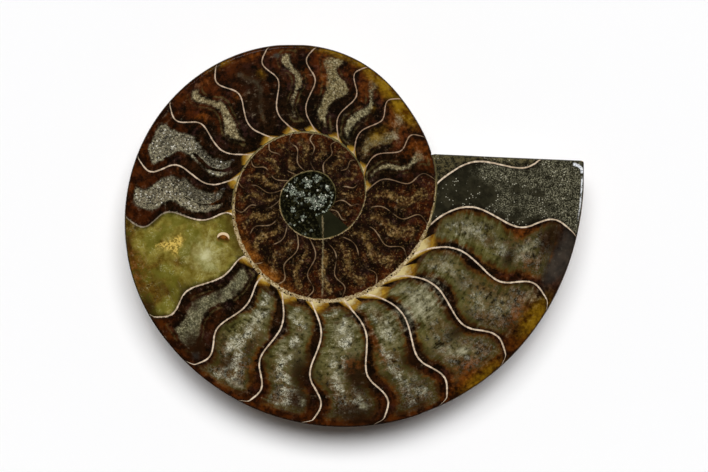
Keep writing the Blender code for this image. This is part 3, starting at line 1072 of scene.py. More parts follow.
def crystal_points(random, x, y, depth):
    """The points of every crystal: its four sides, its top and its root, leaning its own way."""
    count = len(x)
    size = random.uniform(*CRYSTAL_RADIUS, count)[:, None]
    turned = random.uniform(0.0, 2 * np.pi, (count, 1)) + np.arange(SIDES) * 2 * np.pi / SIDES
    side = np.stack([size * np.cos(turned), size * np.sin(turned), 0.0 * turned], axis=2)
    lean = random.uniform(-CRYSTAL_LEAN, CRYSTAL_LEAN, (count, 2))
    axis = np.stack([lean[:, 0], lean[:, 1], np.ones(count)], axis=1)
    axis /= np.linalg.norm(axis, axis=1)[:, None]
    side = side - axis[:, None] * (side @ axis[:, :, None]) / axis[:, None, 2:] * UP
    height = np.minimum(size[:, 0] * random.uniform(*CRYSTAL_HEIGHT, count), depth - CLEAR_OF_POLISH)
    ends = np.stack([height[:, None] * axis, -size * axis], axis=1)
    foot = np.stack([x, y, THICKNESS - depth], axis=1)
    points = np.concatenate([side, ends], axis=1) + foot[:, None]
    points[..., 2] = np.minimum(points[..., 2], THICKNESS - CLEAR_OF_POLISH)
    return (points.reshape(-1, 3) + SHIFT) * MM


def build_crystals():
    """Small closed crystals, each a four-sided double pyramid."""
    random = np.random.default_rng(SEED)
    x, y, depth, values = crystal_places(random)
    points = crystal_points(random, x, y, depth)
    count = len(x)
    sides = [(side, (side + 1) % SIDES) for side in range(SIDES)]
    faces = np.array([(a, b, SIDES) for a, b in sides] + [(b, a, SIDES + 1) for a, b in sides])
    faces = (faces + POINTS_EACH * np.arange(count)[:, None, None]).reshape(-1, 3)
    druse_mesh = bpy.data.meshes.new("druse_crystals")
    druse_mesh.from_pydata(points.tolist(), [], faces.tolist())
    druse_mesh.update()
    shade = random.uniform(0.0, 1.0, count)
    in_centre = (values["wall_z"] > 0.5).astype(float)
    for name, parts in (
        ("tone", (shade, values["tint_y"], values["tint_z"])),
        ("middle", (in_centre, in_centre, in_centre)),
    ):
        stored = druse_mesh.attributes.new(name, "FLOAT_VECTOR", "POINT")
        stored.data.foreach_set("vector", np.repeat(np.stack(parts, axis=1), POINTS_EACH, axis=0).ravel())
    set_map(druse_mesh, flat_map(points[faces.ravel()]))
    druse = bpy.data.objects.new("druse_crystals", druse_mesh)
    bpy.context.scene.collection.objects.link(druse)
    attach(druse, "root")
    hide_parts("ammonite_half")
    return druse_mesh


druse_mesh = build_crystals()

# ---- short ways to build a material's nodes
# In the functions that draw a material, s is its tree.
def node_operator(operation, swapped=False):
    """An operator on values that adds a Math node."""

    def apply(value, other):
        return value.tree.math(operation, *((other, value) if swapped else (value, other)))

    return apply


class Value:
    """A number or colour in a node tree; arithmetic on it adds Math nodes, and a | b is the larger."""

    __add__ = __radd__ = node_operator("ADD")
    __mul__ = __rmul__ = node_operator("MULTIPLY")
    __sub__, __rsub__ = node_operator("SUBTRACT"), node_operator("SUBTRACT", swapped=True)
    __truediv__ = node_operator("DIVIDE")
    __or__ = node_operator("MAXIMUM")

    def __init__(self, tree, socket):
        self.tree, self.socket = tree, socket

    def __abs__(self):
        return self.tree.math("ABSOLUTE", self)

    def step(self, low, high):
        """0 up to low and 1 from high, smooth between; the other way round if low is the larger."""
        return self.tree.map_range("SMOOTHSTEP", self, low, high)

    def spread(self, low, high):
        """The range low to high stretched to 0 to 1."""
        return self.tree.map_range("LINEAR", self, low, high)


def linear(colour):
    """A colour given as 0 to 255 on screen, as light."""
    parts = [part / 255.0 for part in colour]
    return [part / 12.92 if part <= 0.04045 else ((part + 0.055) / 1.055) ** 2.4 for part in parts] + [1.0]


class Tree:
    """A material's nodes. Lengths are in millimetres, and colours are 0 to 255 as on screen."""

    def __init__(self, name):
        self.material = bpy.data.materials.new(name)
        self.material.use_nodes = True
        self.nodes = self.material.node_tree.nodes
        self.links = self.material.node_tree.links
        self.nodes.clear()
        place = self.nodes.new("ShaderNodeTexCoord").outputs["Object"]
        self.place = self.vector_math("SCALE", place, scale=1 / MM)

    def put(self, socket, value):
        """Links a node's output to the socket, or sets the socket to a constant."""
        if isinstance(value, Value):
            self.links.new(value.socket, socket)
        elif isinstance(value, bpy.types.NodeSocket):
            self.links.new(value, socket)
        elif isinstance(value, tuple) and socket.type == "RGBA":
            socket.default_value = linear(value)
        else:
            socket.default_value = value

    def math(self, operation, a, b=None):
        node = self.nodes.new("ShaderNodeMath")
        node.operation = operation
        self.put(node.inputs[0], a)
        if b is not None:
            self.put(node.inputs[1], b)
        return Value(self, node.outputs[0])

    def vector_math(self, operation, a, b=None, scale=None):
        node = self.nodes.new("ShaderNodeVectorMath")
        node.operation = operation
        self.put(node.inputs[0], a)
        if b is not None:
            self.put(node.inputs[1], b)
        if scale is not None:
            self.put(node.inputs["Scale"], scale)
        return Value(self, node.outputs[0])

    def map_range(self, kind, value, low, high):
        node = self.nodes.new("ShaderNodeMapRange")
        node.interpolation_type = kind
        for name, given in (("Value", value), ("From Min", low), ("From Max", high)):
            self.put(node.inputs[name], given)
        return Value(self, node.outputs["Result"])

    def split(self, vector):
        """The three parts of a vector."""
        parts = self.nodes.new("ShaderNodeSeparateXYZ")
        self.put(parts.inputs[0], vector)
        return [Value(self, part) for part in parts.outputs]

    def join(self, x, y):
        node = self.nodes.new("ShaderNodeCombineXYZ")
        self.put(node.inputs[0], x)
        self.put(node.inputs[1], y)
        return Value(self, node.outputs[0])

    def length(self, x, y):
        return self.math("SQRT", x * x + y * y)

    def mix(self, a, b, share):
        node = self.nodes.new("ShaderNodeMix")
        node.data_type = "RGBA"
        node.clamp_factor = True
        self.put(node.inputs["Factor"], share)
        self.put(node.inputs[6], a)
        self.put(node.inputs[7], b)
        return Value(self, node.outputs[2])

    def attribute(self, name):
        """The three parts of a vector that the mesh stores."""
        node = self.nodes.new("ShaderNodeAttribute")
        node.attribute_name = name
        return self.split(node.outputs["Vector"])

    def texture(self, kind, size, place, shift):
        """A texture whose features are this size, over places moved by shift."""
        node = self.nodes.new(kind)
        self.put(node.inputs["Vector"], self.vector_math("ADD", place, shift))
        node.inputs["Scale"].default_value = 1.0 / size
        return node

    def noise(self, size, detail=2.0, rough=0.5, place=None, seed=0.0):
        shift = (seed * 13.7, seed * 7.1, seed * 3.3)
        node = self.texture("ShaderNodeTexNoise", size, place or self.place, shift)
        node.inputs["Detail"].default_value = detail
        node.inputs["Roughness"].default_value = rough
        return Value(self, node.outputs["Fac"])

    def grains(self, size, seed=0.0):
        """Each grain's own random shade, and the distance from its middle."""
        shift = (seed * 11.3, seed * 5.9, seed * 2.7)
        node = self.texture("ShaderNodeTexVoronoi", size, self.place, shift)
        return self.split(node.outputs["Color"])[0], Value(self, node.outputs["Distance"])

    def bent(self, size, amount, seed=0.0):
        """Places pushed about by noise, so that what is drawn on them bends."""
        node = self.texture("ShaderNodeTexNoise", size, self.place, (seed * 9.1, seed * 4.3, seed * 6.7))
        push = self.vector_math("SCALE", node.outputs["Color"], scale=amount)
        return self.vector_math("ADD", self.place, push)

    def turned_away(self):
        """1 where the surface turns away from the polish, as on its rounded edge."""
        geometry_node = self.nodes.new("ShaderNodeNewGeometry")
        return self.split(geometry_node.outputs["Normal"])[2].step(0.9995, 0.99)

    def from_axis(self):
        """Places on the cut face, measured from the coil's axis."""
        return self.split(self.vector_math("SUBTRACT", self.place, tuple(SHIFT)))[:2]

    def finish(self, colour, roughness, height=None, depth=0.0, **constants):
        """The Principled shader, with a bump of this depth where there is a height."""
        shader = self.nodes.new("ShaderNodeBsdfPrincipled")
        self.put(shader.inputs["Base Color"], colour)
        self.put(shader.inputs["Roughness"], roughness)
        for name, value in constants.items():
            shader.inputs[name.replace("_", " ")].default_value = value
        if height is not None:
            bump = self.nodes.new("ShaderNodeBump")
            self.put(bump.inputs["Height"], height)
            bump.inputs["Distance"].default_value = depth * MM
            bump.inputs["Strength"].default_value = 1.0
            self.links.new(bump.outputs[0], shader.inputs["Normal"])
        output = self.nodes.new("ShaderNodeOutputMaterial")
        self.links.new(shader.outputs[0], output.inputs[0])
        return self.material


# ---- the cut face's drawing
# Noises lie round 0.5, so step and spread mostly take thresholds a little below and above it.
OUTER_TURN = NUMBER[731]
CALCITE = NUMBER[909]
GLASSY = NUMBER[1009]  # from here on the fillings hold fewer white crystals
GLOW = (-23.4, -12.7)  # the calcite's bright place, from the coil's axis
GLOW_REACH = 5.8
HOOK = (-19.6, -9.3)
HOOK_RADIUS = 1.3
HIGHLIGHT_TOP, HIGHLIGHT_MIDDLE, HIGHLIGHT_RADIUS = 7.65, 2.4, 1.8  # the painted highlight crescent at the far corner, where the polished bevel catches the light
CRACK_X = 2.0
CRACK_FROM, CRACK_TO = 3.8, 22.0
FLICK = 1.4  # how far a septum's tip bends at the rim
SHADOW_REACH = 1.1
HALF_LINE, HALF_LINE_GROWS = 0.10, 0.06
LAST_FOOT = 37.6
# From which septum to which: the lines thicken, turn paler and start to show as cream, and the feet shrink.
LINES_THICKEN = (18.0, 37.0)
LINES_PALER = (21.0, 31.0)
LINES_CREAM = (19.0, 22.0)
FEET_SMALLER = (35.0, CALCITE)


class CutFace(Tree):
    """A tree that also holds where in the coil a place lies, and the noises that the drawing shares."""

    def __init__(self, name):
        super().__init__(name)
        self.chamber, self.t, self.mm = self.attribute("lay")
        self.core, self.height, self.pocket = self.attribute("zone")
        self.green, self.warm, self.value = self.attribute("tint")
        self.red, self.ridge, self.grain = self.attribute("rust")
        self.wall_in, self.wall_out, self.centre = self.attribute("wall")
        self.x, self.y = self.from_axis()
        self.from_inner = self.t * self.height
        self.from_outer = (1.0 - self.t) * self.height
        self.outer_turn = self.chamber.step(OUTER_TURN - 0.1, OUTER_TURN + 0.1)
        self.inner_turns = 1.0 - self.outer_turn
        self.calcite_share = self.past(CALCITE) * (1.0 - self.past(CALCITE + 1))
        self.last = self.past(LAST_CHAMBER)
        self.in_centre = self.centre.step(0.4, 0.6)
        self.glassy = self.chamber.step(GLASSY, GLASSY + 1)

        self.fine = self.noise(0.34, 2.0, 0.65, seed=1)
        self.grit = self.noise(0.6, 2.0, 0.6, seed=17)
        self.small = self.noise(0.95, 3.0, 0.6, seed=2)
        self.medium = self.noise(2.6, 3.0, 0.55, seed=3)
        self.large = self.noise(5.5, 2.0, 0.5, seed=10)
        # Calcite grows square to the walls of a chamber, so its streaks run from septum to septum.
        square_to_walls = self.join(self.chamber * 2.2, self.from_inner * 1.5)
        self.streak = self.noise(1.0, 3.0, 0.62, place=square_to_walls, seed=5)
        self.shade, self.off_grain = self.grains(0.62, seed=4)
        self.fine_shade, self.off_fine = self.grains(0.36, seed=6)
        self.soft = self.medium * 0.5 + self.small * 0.5
        self.crisp = self.small * 0.5 + self.fine * 0.5
        self.sharp = self.small * 0.6 + self.fine * 0.4
        self.small_off, self.fine_off = self.small - 0.5, self.fine - 0.5
        self.streak_off, self.medium_off = self.streak - 0.5, self.medium - 0.5
        self.bent_places = self.bent(1.6, 1.5, seed=7)
        self.wisps = self.threads(1.25, 0.03, 8)

    def past(self, number):
        """1 beyond the septum of this number."""
        return self.chamber.step(number - 0.01, number + 0.01)

    def threads(self, size, width, seed):
        """Thin bent lines."""
        return abs(self.noise(size, 2.0, 0.6, place=self.bent_places, seed=seed) - 0.5).step(width, 0.0)


def chamber_lining(s):
    """The dark lining that every chamber starts with, rustier towards the venter."""
    tone = s.medium * 0.4 + s.small * 0.3 + s.fine * 0.3
    colour = s.mix((11, 6, 2), (38, 21, 8), tone.step(0.42, 0.60))
    rusty = (s.medium * 0.45 + s.large * 0.35 + s.small * 0.1 + s.t * 0.2).step(0.52, 0.67) * s.red
    tone = s.small * 0.45 + s.fine * 0.25 + s.streak * 0.15 + s.medium * 0.15
    colour = s.mix(colour, s.mix((42, 16, 4), (84, 36, 8), tone.spread(0.4, 0.6)), rusty * 0.85)
    maroon = s.noise(4.2, 2.0, seed=11).step(0.5, 0.64) * s.small.step(0.4, 0.6)
    colour = s.mix(colour, (52, 30, 28), maroon * 0.5)
    colour = s.mix(colour, (10, 7, 5), s.off_fine.step(0.16, 0.08) * s.fine_shade.step(0.55, 0.6) * 0.3)
    venter = (s.t + s.medium_off * 0.25).step(0.80, 1.0) * s.outer_turn
    brown = s.mix((30, 12, 3), (76, 35, 6), (s.small * 0.4 + s.medium * 0.6).step(0.43, 0.62))
    colour = s.mix(colour, brown, venter * 0.8)
    gold = s.mix((78, 50, 22), (142, 112, 62), s.fine_shade.spread(0.3, 0.9))
    flecked = (s.fine_shade + (s.streak_off + s.medium_off) * 1.4).step(0.62, 0.74)
    flecked = flecked * s.off_fine.step(0.5, 0.3)
    colour = s.mix(colour, gold, flecked * s.inner_turns * 0.35)
    # Paler layers follow the wall of a grained filling.
    layer = abs(s.core + 0.62 + s.small_off * 0.5).step(0.34, 0.04) * s.grain.step(0.7, 0.9)
    layer = layer * s.outer_turn * (1.0 - s.pocket) * s.value.step(0.2, 0.4)
    layer = layer * (s.medium * 0.5 + s.large * 0.5).step(0.46, 0.58)
    pale = s.mix((38, 30, 12), (100, 88, 52), s.sharp.spread(0.4, 0.6))
    return s.mix(colour, pale, layer * 0.7)


def cloudy_filling(s):
    """Wide fillings: olive and brown at their edge, cloudy grey-green within, and where the crystals meet
    in the middle a seam of white sparkle with small black gaps."""
    tone = (s.medium * 0.35 + s.small * 0.35 + s.streak * 0.3).spread(0.40, 0.61)
    colour = s.mix((36, 30, 10), (122, 116, 80), tone)
    browner = (s.large + (s.t - 0.5) * 0.25 + s.small_off * 0.5).step(0.52, 0.64)
    colour = s.mix(colour, (64, 38, 14), browner * 0.7)
    colour = s.mix(colour, (92, 88, 40), s.noise(3.4, seed=6).step(0.38, 0.62) * s.green * 0.7)
    colour = s.mix(colour, (128, 98, 52), s.small.step(0.35, 0.65) * s.warm * 0.7)
    colour = s.mix((6, 5, 3), colour, s.value * 0.95 + 0.34)
    mottled = (s.t + s.medium_off * 1.2 + s.streak_off * 0.5).step(0.60, 0.90)
    colour = s.mix(colour, s.mix((36, 17, 4), (84, 56, 26), s.small.spread(0.4, 0.62)), mottled * 0.85)
    low_down = (s.t + s.medium_off * 0.5).step(0.42, 0.70)
    off_middle = abs(s.ridge + s.medium_off * 4.0 + s.streak_off * 2.0)
    aside = off_middle.step(0.8, 3.0) * low_down * (1.0 - s.glassy * 0.5)
    brown = s.mix((24, 14, 5), (76, 48, 20), (s.small * 0.7 + s.streak * 0.3).spread(0.38, 0.62))
    colour = s.mix(colour, brown, aside * 0.9)
    olive_side = (s.ridge + s.small_off * 3.0).step(-0.6, -2.6) * (1.0 - low_down)
    colour = s.mix(colour, s.mix((50, 48, 16), (108, 104, 54), tone), olive_side * 0.6)
    flaws = (s.small * 0.6 + s.fine * 0.15 + s.streak * 0.25).step(0.47, 0.395)
    colour = s.mix(colour, (28, 20, 8), flaws * 0.75)
    flecks = (s.small * 0.55 + s.fine * 0.45).step(0.56, 0.66) * (1.0 - (s.glassy * 0.6 | aside * 0.85))
    colour = s.mix(colour, (168, 162, 128), flecks * 0.65)

    seam = abs(s.ridge + s.streak_off * 4.0 + s.medium_off * 5.0).step(2.2, 0.2)
    seam = seam * s.noise(2.2, 2.0, seed=9).step(0.42, 0.56) * (1.0 - s.glassy * 0.65)
    colour = s.mix(colour, s.mix(colour, (176, 172, 142), 0.45), seam * 0.5)
    spark = s.shade.step(0.7, 0.8) * (s.off_grain + s.small_off * 0.6).step(0.5, 0.3)
    sugar = s.crisp.step(0.56, 0.64)
    bright = (s.wisps | s.threads(0.8, 0.04, 18)) * 0.9 | spark | sugar * 0.8
    colour = s.mix(colour, (218, 214, 190), bright * (seam | mottled * 0.2) * 0.85)
    gaps = s.fine_shade.step(0.3, 0.22) * s.off_fine.step(0.5, 0.3) | s.sharp.step(0.44, 0.38)
    colour = s.mix(colour, (22, 17, 7), gaps * seam * 0.85)
    rim = s.core + s.streak_off * 3.2 + s.medium_off * 2.4
    amber = s.mix((50, 26, 6), (88, 50, 10), s.medium.step(0.4, 0.6))
    return s.mix(colour, s.mix(amber, (64, 60, 24), rim.step(0.2, 1.4)), rim.step(2.6, 0.3) * 0.9)


def grained_filling(s):
    """Narrow fillings and the floors of open pockets: all grains, darker at the edge."""
    tan = s.mix(s.mix((138, 134, 114), (146, 120, 68), s.warm), (104, 104, 70), s.green * s.green)
    tan = s.mix(tan, (150, 114, 58), s.inner_turns * 0.85)
    glints = (s.fine * 0.4 + s.streak * 0.2 + s.grit * 0.4).step(0.51, 0.62)
    tan = s.mix(tan, (204, 194, 154), glints * (0.55 - s.inner_turns * 0.2))
    between = s.mix((30, 23, 12), (14, 8, 3), s.inner_turns)
    colour = s.mix(between, tan, (s.grit * 0.45 + s.small * 0.25 + s.fine * 0.3).spread(0.36, 0.58))
    dots = s.off_fine.step(0.45, 0.2) * s.fine_shade.step(0.4, 0.55) * s.outer_turn
    colour = s.mix(colour, (198, 190, 152), dots * 0.5)
    spots = (s.off_grain + s.small_off * 0.8).step(0.4, 0.2) * s.shade.step(0.8, 0.9)
    spots = spots * s.medium.step(0.46, 0.56)
    colour = s.mix(colour, (204, 190, 156), spots * 0.6)
    colour = s.mix(colour, (74, 32, 10), s.noise(1.8, 2.0, seed=29).step(0.46, 0.56) * s.inner_turns * 0.6)
    colour = s.mix((6, 5, 3), colour, s.value * 0.95 + 0.3)
    return s.mix(colour, (26, 19, 10), (s.core + s.small_off).step(0.55, 0.0) * 0.8)


def yellow_calcite(s):
    """The yellow calcite chamber, with a bright place that streaks run out from."""
    tone = (s.medium * 0.5 + s.small * 0.4 + s.fine * 0.1).spread(0.38, 0.62)
    colour = s.mix((92, 76, 18), (142, 130, 58), tone)
    deep = (s.noise(5.0, 2.0, seed=19) + s.t * s.t * 0.42).step(0.66, 0.86)
    brown = s.mix((52, 28, 4), (104, 74, 20), s.crisp.spread(0.4, 0.6))
    colour = s.mix(colour, brown, deep * 0.85)
    colour = s.mix(colour, (92, 92, 28), s.noise(4.0, 2.0, seed=20).step(0.46, 0.62) * 0.55)
    colour = s.mix(colour, (186, 180, 128), s.wisps * s.medium.step(0.48, 0.62) * 0.45)
    colour = s.mix(colour, (66, 50, 14), (s.from_inner + s.small_off * 2.5).step(4.2, 0.4) * 0.75)
    glow_x, glow_y = s.x - GLOW[0], s.y - GLOW[1]
    off_glow = s.length(glow_x, glow_y)
    around = s.math("ARCTAN2", glow_y, glow_x)
    ray = s.noise(1.0, 3.0, 0.7, place=s.join(around * 2.6, off_glow * 0.35), seed=28)
    rays = off_glow.step(GLOW_REACH, 0.5) * (ray * 0.8 + s.fine * 0.2).spread(0.36, 0.62)
    colour = s.mix(colour, (170, 162, 102), (off_glow + s.medium_off * 6.0).step(4.0, 0.3) * 0.5)
    colour = s.mix(colour, (190, 186, 132), rays * (s.medium + s.small_off).step(0.3, 0.6) * 0.75)
    heart = (off_glow + s.small_off * 3.5 + s.fine_off).step(1.7, 0.1)
    return s.mix(colour, (214, 210, 164), heart * 0.6)


def charcoal_matrix(s):
    """The last chamber's rock, with sparkling flecks where the grain is coarse."""
    colour = s.mix((30, 28, 18), (46, 43, 30), s.soft.step(0.4, 0.62))
    dust = s.noise(0.26, 2.0, 0.6, seed=13)
    dusty = s.mix((30, 28, 19), (146, 142, 116), (dust * 0.75 + s.fine * 0.25).spread(0.46, 0.62))
    coarse = (s.noise(6.0, 2.0, seed=12) + (s.t - 0.5) * 0.35).step(0.42, 0.62)
    colour = s.mix(colour, dusty, coarse * (dust * 0.4 + s.small * 0.6).step(0.36, 0.6) * 0.85)
    end_strip = s.chamber.step(LAST_CHAMBER + 0.98, LAST_CHAMBER + 1.02)
    colour = s.mix(colour, (104, 94, 62), end_strip * (dust * 0.5 + s.small * 0.5).step(0.46, 0.56) * 0.6)
    sparse = s.off_fine.step(0.42, 0.22) * (s.fine_shade + s.medium_off * 1.6).step(0.92, 0.97)
    return s.mix(colour, (190, 186, 164), sparse * 0.85)


def single_marks(s, colour):
    """The listed marks, each kind in its own colours."""
    pale_mark, dark_mark, rust_mark = s.attribute("mark")
    amber_mark, grey_mark, _ = s.attribute("note")
    ragged = s.small_off * 1.0 + s.streak_off * 0.8 + s.fine_off * 0.4
    golden = s.mix((74, 42, 3), (140, 108, 18), s.soft.spread(0.38, 0.62))
    orange = s.mix((74, 34, 6), (144, 88, 28), s.sharp.spread(0.38, 0.62))
    grains = s.mix((118, 98, 34), (216, 184, 92), (s.fine_shade * 0.4 + s.fine * 0.6).spread(0.36, 0.62))
    golden = s.mix(s.mix(golden, orange, s.inner_turns), grains, s.calcite_share)
    amber_mark = amber_mark - ragged * (1.0 - s.calcite_share) * 0.6
    rust = s.mix((48, 22, 5), (110, 56, 12), s.small.spread(0.35, 0.65))
    grey = s.mix((36, 32, 28), (58, 53, 46), s.medium.spread(0.35, 0.65))
    tone = (s.small * 0.35 + s.streak * 0.35 + s.fine * 0.3).spread(0.4, 0.62)
    for mark, mark_colour, share in (
        (dark_mark * 1.25, s.mix((14, 8, 3), (44, 24, 9), s.small), 0.9),
        (rust_mark, rust, 0.8),
        (amber_mark, golden, 0.9),
        (grey_mark, grey, 0.9),
        (pale_mark, s.mix((104, 98, 66), (188, 184, 154), tone), 0.7),
    ):
        colour = s.mix(colour, mark_colour, (mark + ragged).step(0.1, 1.05) * share)
    return colour


def cream_hook(s, colour):
    """A small cream hook with brown under it, in the calcite by the wall."""
    hook_x, hook_y = s.x - HOOK[0], s.y - HOOK[1]
    off_hook = s.length(hook_x, hook_y)
    lean = hook_y + hook_x * 0.12
    under = (off_hook + s.small_off).step(1.7, 1.0) * (lean + s.small_off * 1.5).step(-0.9, 0.2)
    colour = s.mix(colour, s.mix((52, 22, 4), (122, 70, 24), s.small.step(0.4, 0.6)), under * 0.9)
    line = abs(off_hook - HOOK_RADIUS) + lean.step(1.5, 0.0) * 0.24 + s.small_off * 0.15
    return s.mix(colour, (222, 196, 160), line.step(0.38, 0.22) * lean.step(0.1, 0.6))


def painted_corner_highlight(s, colour):
    """The far corner's painted highlight, where light glints on the polished rounded bevel: a thin crescent
    inside it, and a line on down the rim.
    """
    from_rim, from_saw = s.from_outer - HIGHLIGHT_MIDDLE, HIGHLIGHT_TOP - s.y - HIGHLIGHT_MIDDLE
    off_highlight = s.length(from_rim, from_saw) - HIGHLIGHT_RADIUS
    crescent = abs(off_highlight + s.small_off * 0.4).step(0.42, 0.2)
    crescent = crescent * from_rim.step(0.3, -0.1) * from_saw.step(0.3, -0.1)
    down_rim = abs(s.from_outer - 0.6 + s.small_off * 0.4).step(0.26, 0.1)
    down_rim = down_rim * from_saw.step(0.7, 1.3) * from_saw.step(12.0, 4.0) * s.small.step(0.36, 0.5)
    # Painted highlight: a bluish white that stands in for light glinting on the rounded corner and rim.
    pale = s.mix((130, 134, 138), (236, 238, 240), s.fine.spread(0.35, 0.55))
    return s.mix(colour, pale, (crescent | down_rim) * s.last)


def open_middle(s, colour):
    """The coil's open middle: white and green-grey crystals over black, and smooth dark calcite beside."""
    druse = s.mix((10, 11, 6), (140, 146, 124), (s.shade * 0.6 + s.fine_shade * 0.5).spread(0.45, 0.95))
    druse = s.mix(druse, (222, 224, 208), s.fine_shade.step(0.74, 0.82) * s.off_fine.step(0.5, 0.3) * 0.9)
    black = s.mix((12, 11, 5), (44, 42, 24), (s.fine_shade * 0.6 + s.small * 0.4).step(0.5, 0.8))
    druse = s.mix(black, druse, (s.value + s.small_off * 1.2).step(0.40, 0.9))
    colour = s.mix(colour, druse, s.in_centre)
    return s.mix(colour, s.mix((16, 15, 7), (38, 38, 22), s.medium), s.centre.step(1.02, 1.2))


def septa(s, colour):
    """The septa's thin cream lines and their shadows, over amber wedges at their feet."""
    # Below, each septum flicks back towards the older chamber as it meets the rim.
    flick = s.chamber.step(CALCITE + 0.5, CALCITE + 1.5) * s.chamber.step(LAST_FOOT, LAST_FOOT - 1.0)
    flick = flick * s.t.step(0.955, 1.01)
    beside = (s.chamber - s.math("ROUND", s.chamber)) * s.mm + flick * FLICK
    gap = abs(beside)
    foot = (s.from_inner * 1.1 + (beside * 0.75 | beside * -2.5) + s.small_off * 1.0) / s.height
    foot = foot + s.chamber.step(*FEET_SMALLER) * 0.03
    foot_share = foot.step(0.15, 0.105) * s.outer_turn * (1.0 - s.calcite_share)
    foot_share = foot_share * s.chamber.step(LAST_FOOT + 0.1, LAST_FOOT - 0.1)
    amber = s.mix((104, 62, 8), (176, 138, 44), (s.small * 0.5 + s.streak * 0.5).spread(0.38, 0.62))
    colour = s.mix(colour, amber, foot_share * 0.9)
    near_wall = (foot + s.small_off * 0.06).step(0.105, 0.045)
    colour = s.mix(colour, (204, 186, 130), foot_share * near_wall * 0.95)

    half_line = s.chamber.step(*LINES_THICKEN) * HALF_LINE_GROWS + HALF_LINE
    half_line = half_line * (s.t.step(1.0, 0.9) * 0.5 + 0.5)
    shadow = (gap + s.small_off * 1.2).step(half_line + SHADOW_REACH, half_line)
    colour = s.mix(colour, (14, 8, 4), shadow * (1.0 - s.in_centre) * (1.0 - foot_share) * 0.6)
    edge = half_line + s.small_off * 0.12 + s.medium_off * 0.12
    line = gap.step(edge + 0.05, edge - 0.05) * s.chamber.step(0.6, 0.9)
    line = line * s.chamber.step(LAST_CHAMBER + 1.4, LAST_CHAMBER + 1.2) * (1.0 - s.in_centre)
    line = line * (s.noise(5.0, seed=16).step(0.40, 0.5) | s.outer_turn)
    dim = s.chamber.step(CALCITE - 0.4, CALCITE - 0.3) * s.chamber.step(CALCITE + 0.4, CALCITE + 0.3)
    line = line * (1.0 - dim * (s.t + s.small_off * 0.3).step(0.35, 0.5) * 0.65)
    cream = s.mix((168, 140, 116), (222, 202, 176), s.chamber.step(*LINES_PALER))
    inner = s.mix((70, 52, 34), (140, 118, 92), s.medium.spread(0.4, 0.6))
    cream = s.mix(inner, cream, s.chamber.step(*LINES_CREAM))
    return s.mix(colour, s.mix(cream, (120, 92, 60), s.small.step(0.6, 0.42) * 0.5), line)


def whorl_walls(s, colour):
    """The walls between whorls, widest and full of small holes below, painted as dark specks of shade, and
    the dark rim.
    """
    width = s.wall_in + s.wall_out
    jag = s.small_off * (width + 0.15) * 1.7 + s.fine_off * 0.15
    inner_wall, outer_wall = (
        (distance + jag).step(half + 0.07, half - 0.07) * half.step(0.02, 0.08)
        for distance, half in ((s.from_inner, s.wall_in), (s.from_outer, s.wall_out))
    )
    wide = s.mix((112, 88, 46), (206, 186, 146), s.crisp.spread(0.42, 0.6))
    wall = s.mix((92, 84, 52), wide, width.step(0.24, 0.38))
    # Painted shade: the wall is flat, and dark specks stand in for the shade inside small holes.
    hole_shade = s.off_grain.step(0.4, 0.25) * s.shade.step(0.5, 0.6) * width.step(0.22, 0.34)
    colour = s.mix(colour, s.mix(wall, (12, 9, 6), hole_shade), inner_wall | outer_wall)
    return s.mix(colour, (20, 15, 11), s.from_outer.step(0.5, 0.15) * s.outer_turn * 0.8)


def healed_crack(s, colour):
    """A healed crack that runs straight down from the middle."""
    crack = s.y.step(-CRACK_FROM, -CRACK_FROM - 0.6) * s.y.step(-CRACK_TO, -CRACK_TO + 1.5)
    off_crack = abs(s.x - CRACK_X + s.small_off * 0.7 + s.medium_off * 0.6)
    crack = crack * (off_crack + s.crisp.step(0.5, 0.6) * 0.1).step(0.26, 0.08)
    return s.mix(colour, s.mix((64, 50, 28), (164, 150, 112), s.crisp.spread(0.4, 0.62)), crack * 0.75)


def cut_face(name, ior, gloss):
    """The cut face: one drawing, glossy for the polish and dull for the pockets and the rounded rim."""
    s = CutFace(name)
    filling = s.mix(cloudy_filling(s), grained_filling(s), s.grain.spread(0.3, 1.0))
    inside = (s.core + s.small_off * 1.2 + s.streak_off * 0.8 + s.fine_off * 0.5).step(-0.25, 0.45)
    colour = s.mix(chamber_lining(s), filling, inside)
    speckle = (s.grit * 0.6 + s.small * 0.4).step(0.5, 0.4) * s.inner_turns
    colour = s.mix(colour, s.mix((12, 6, 3), (44, 20, 16), s.medium), speckle * 0.75)
    grains = (s.grit * 0.6 + s.fine * 0.2 + s.small * 0.2).step(0.54, 0.62) * s.inner_turns
    colour = s.mix(colour, (156, 122, 76), grains * (inside * 0.6 + 0.15) * 0.6)
    colour = s.mix(colour, yellow_calcite(s), s.calcite_share)
    colour = single_marks(s, colour)
    colour = s.mix(colour, charcoal_matrix(s), s.last)
    for draw in (cream_hook, painted_corner_highlight, open_middle, septa, whorl_walls, healed_crack):
        colour = draw(s, colour)
    rough = s.core.step(-0.3, 0.1) * s.pocket * 0.5 + s.turned_away() * 0.5 + 0.08
    dug = s.core.step(0.0, 0.4) * s.pocket
    return s.finish(colour, rough, s.fine_shade * dug, 0.15, IOR=ior, Specular_IOR_Level=gloss)


# ---- the other materials
def crystal_faces():
    """The crystals: milky, each in its own shade, a few of them white."""
    s = Tree("crystal_faces")
    shade, warm, value = s.attribute("tone")
    middle, _, _ = s.attribute("middle")
    cloudy = s.noise(0.3, 2.0, 0.6, seed=51)
    pale = s.mix(s.mix((148, 140, 118), (158, 128, 76), warm), (158, 166, 148), middle)
    colour = s.mix((22, 17, 10), pale, (shade * 0.8 + cloudy * 0.3).step(0.05, 0.85))
    colour = s.mix(colour, (226, 222, 206), shade.step(0.86, 0.92) * 0.8)
    colour = s.mix((12, 10, 6), colour, (value | middle) * 0.8 + 0.3)
    return s.finish(colour, 0.22, cloudy, 0.02, IOR=1.55, Specular_IOR_Level=0.5)


SUTURE_DEG = 18.0  # between the sutures' frilled lines
SUTURE_FRILLS = ((25.0, 3.2), (61.0, 1.5), (139.0, 0.7))
POLISH_GLOSS, POLISH_IOR = 0.38, 1.5


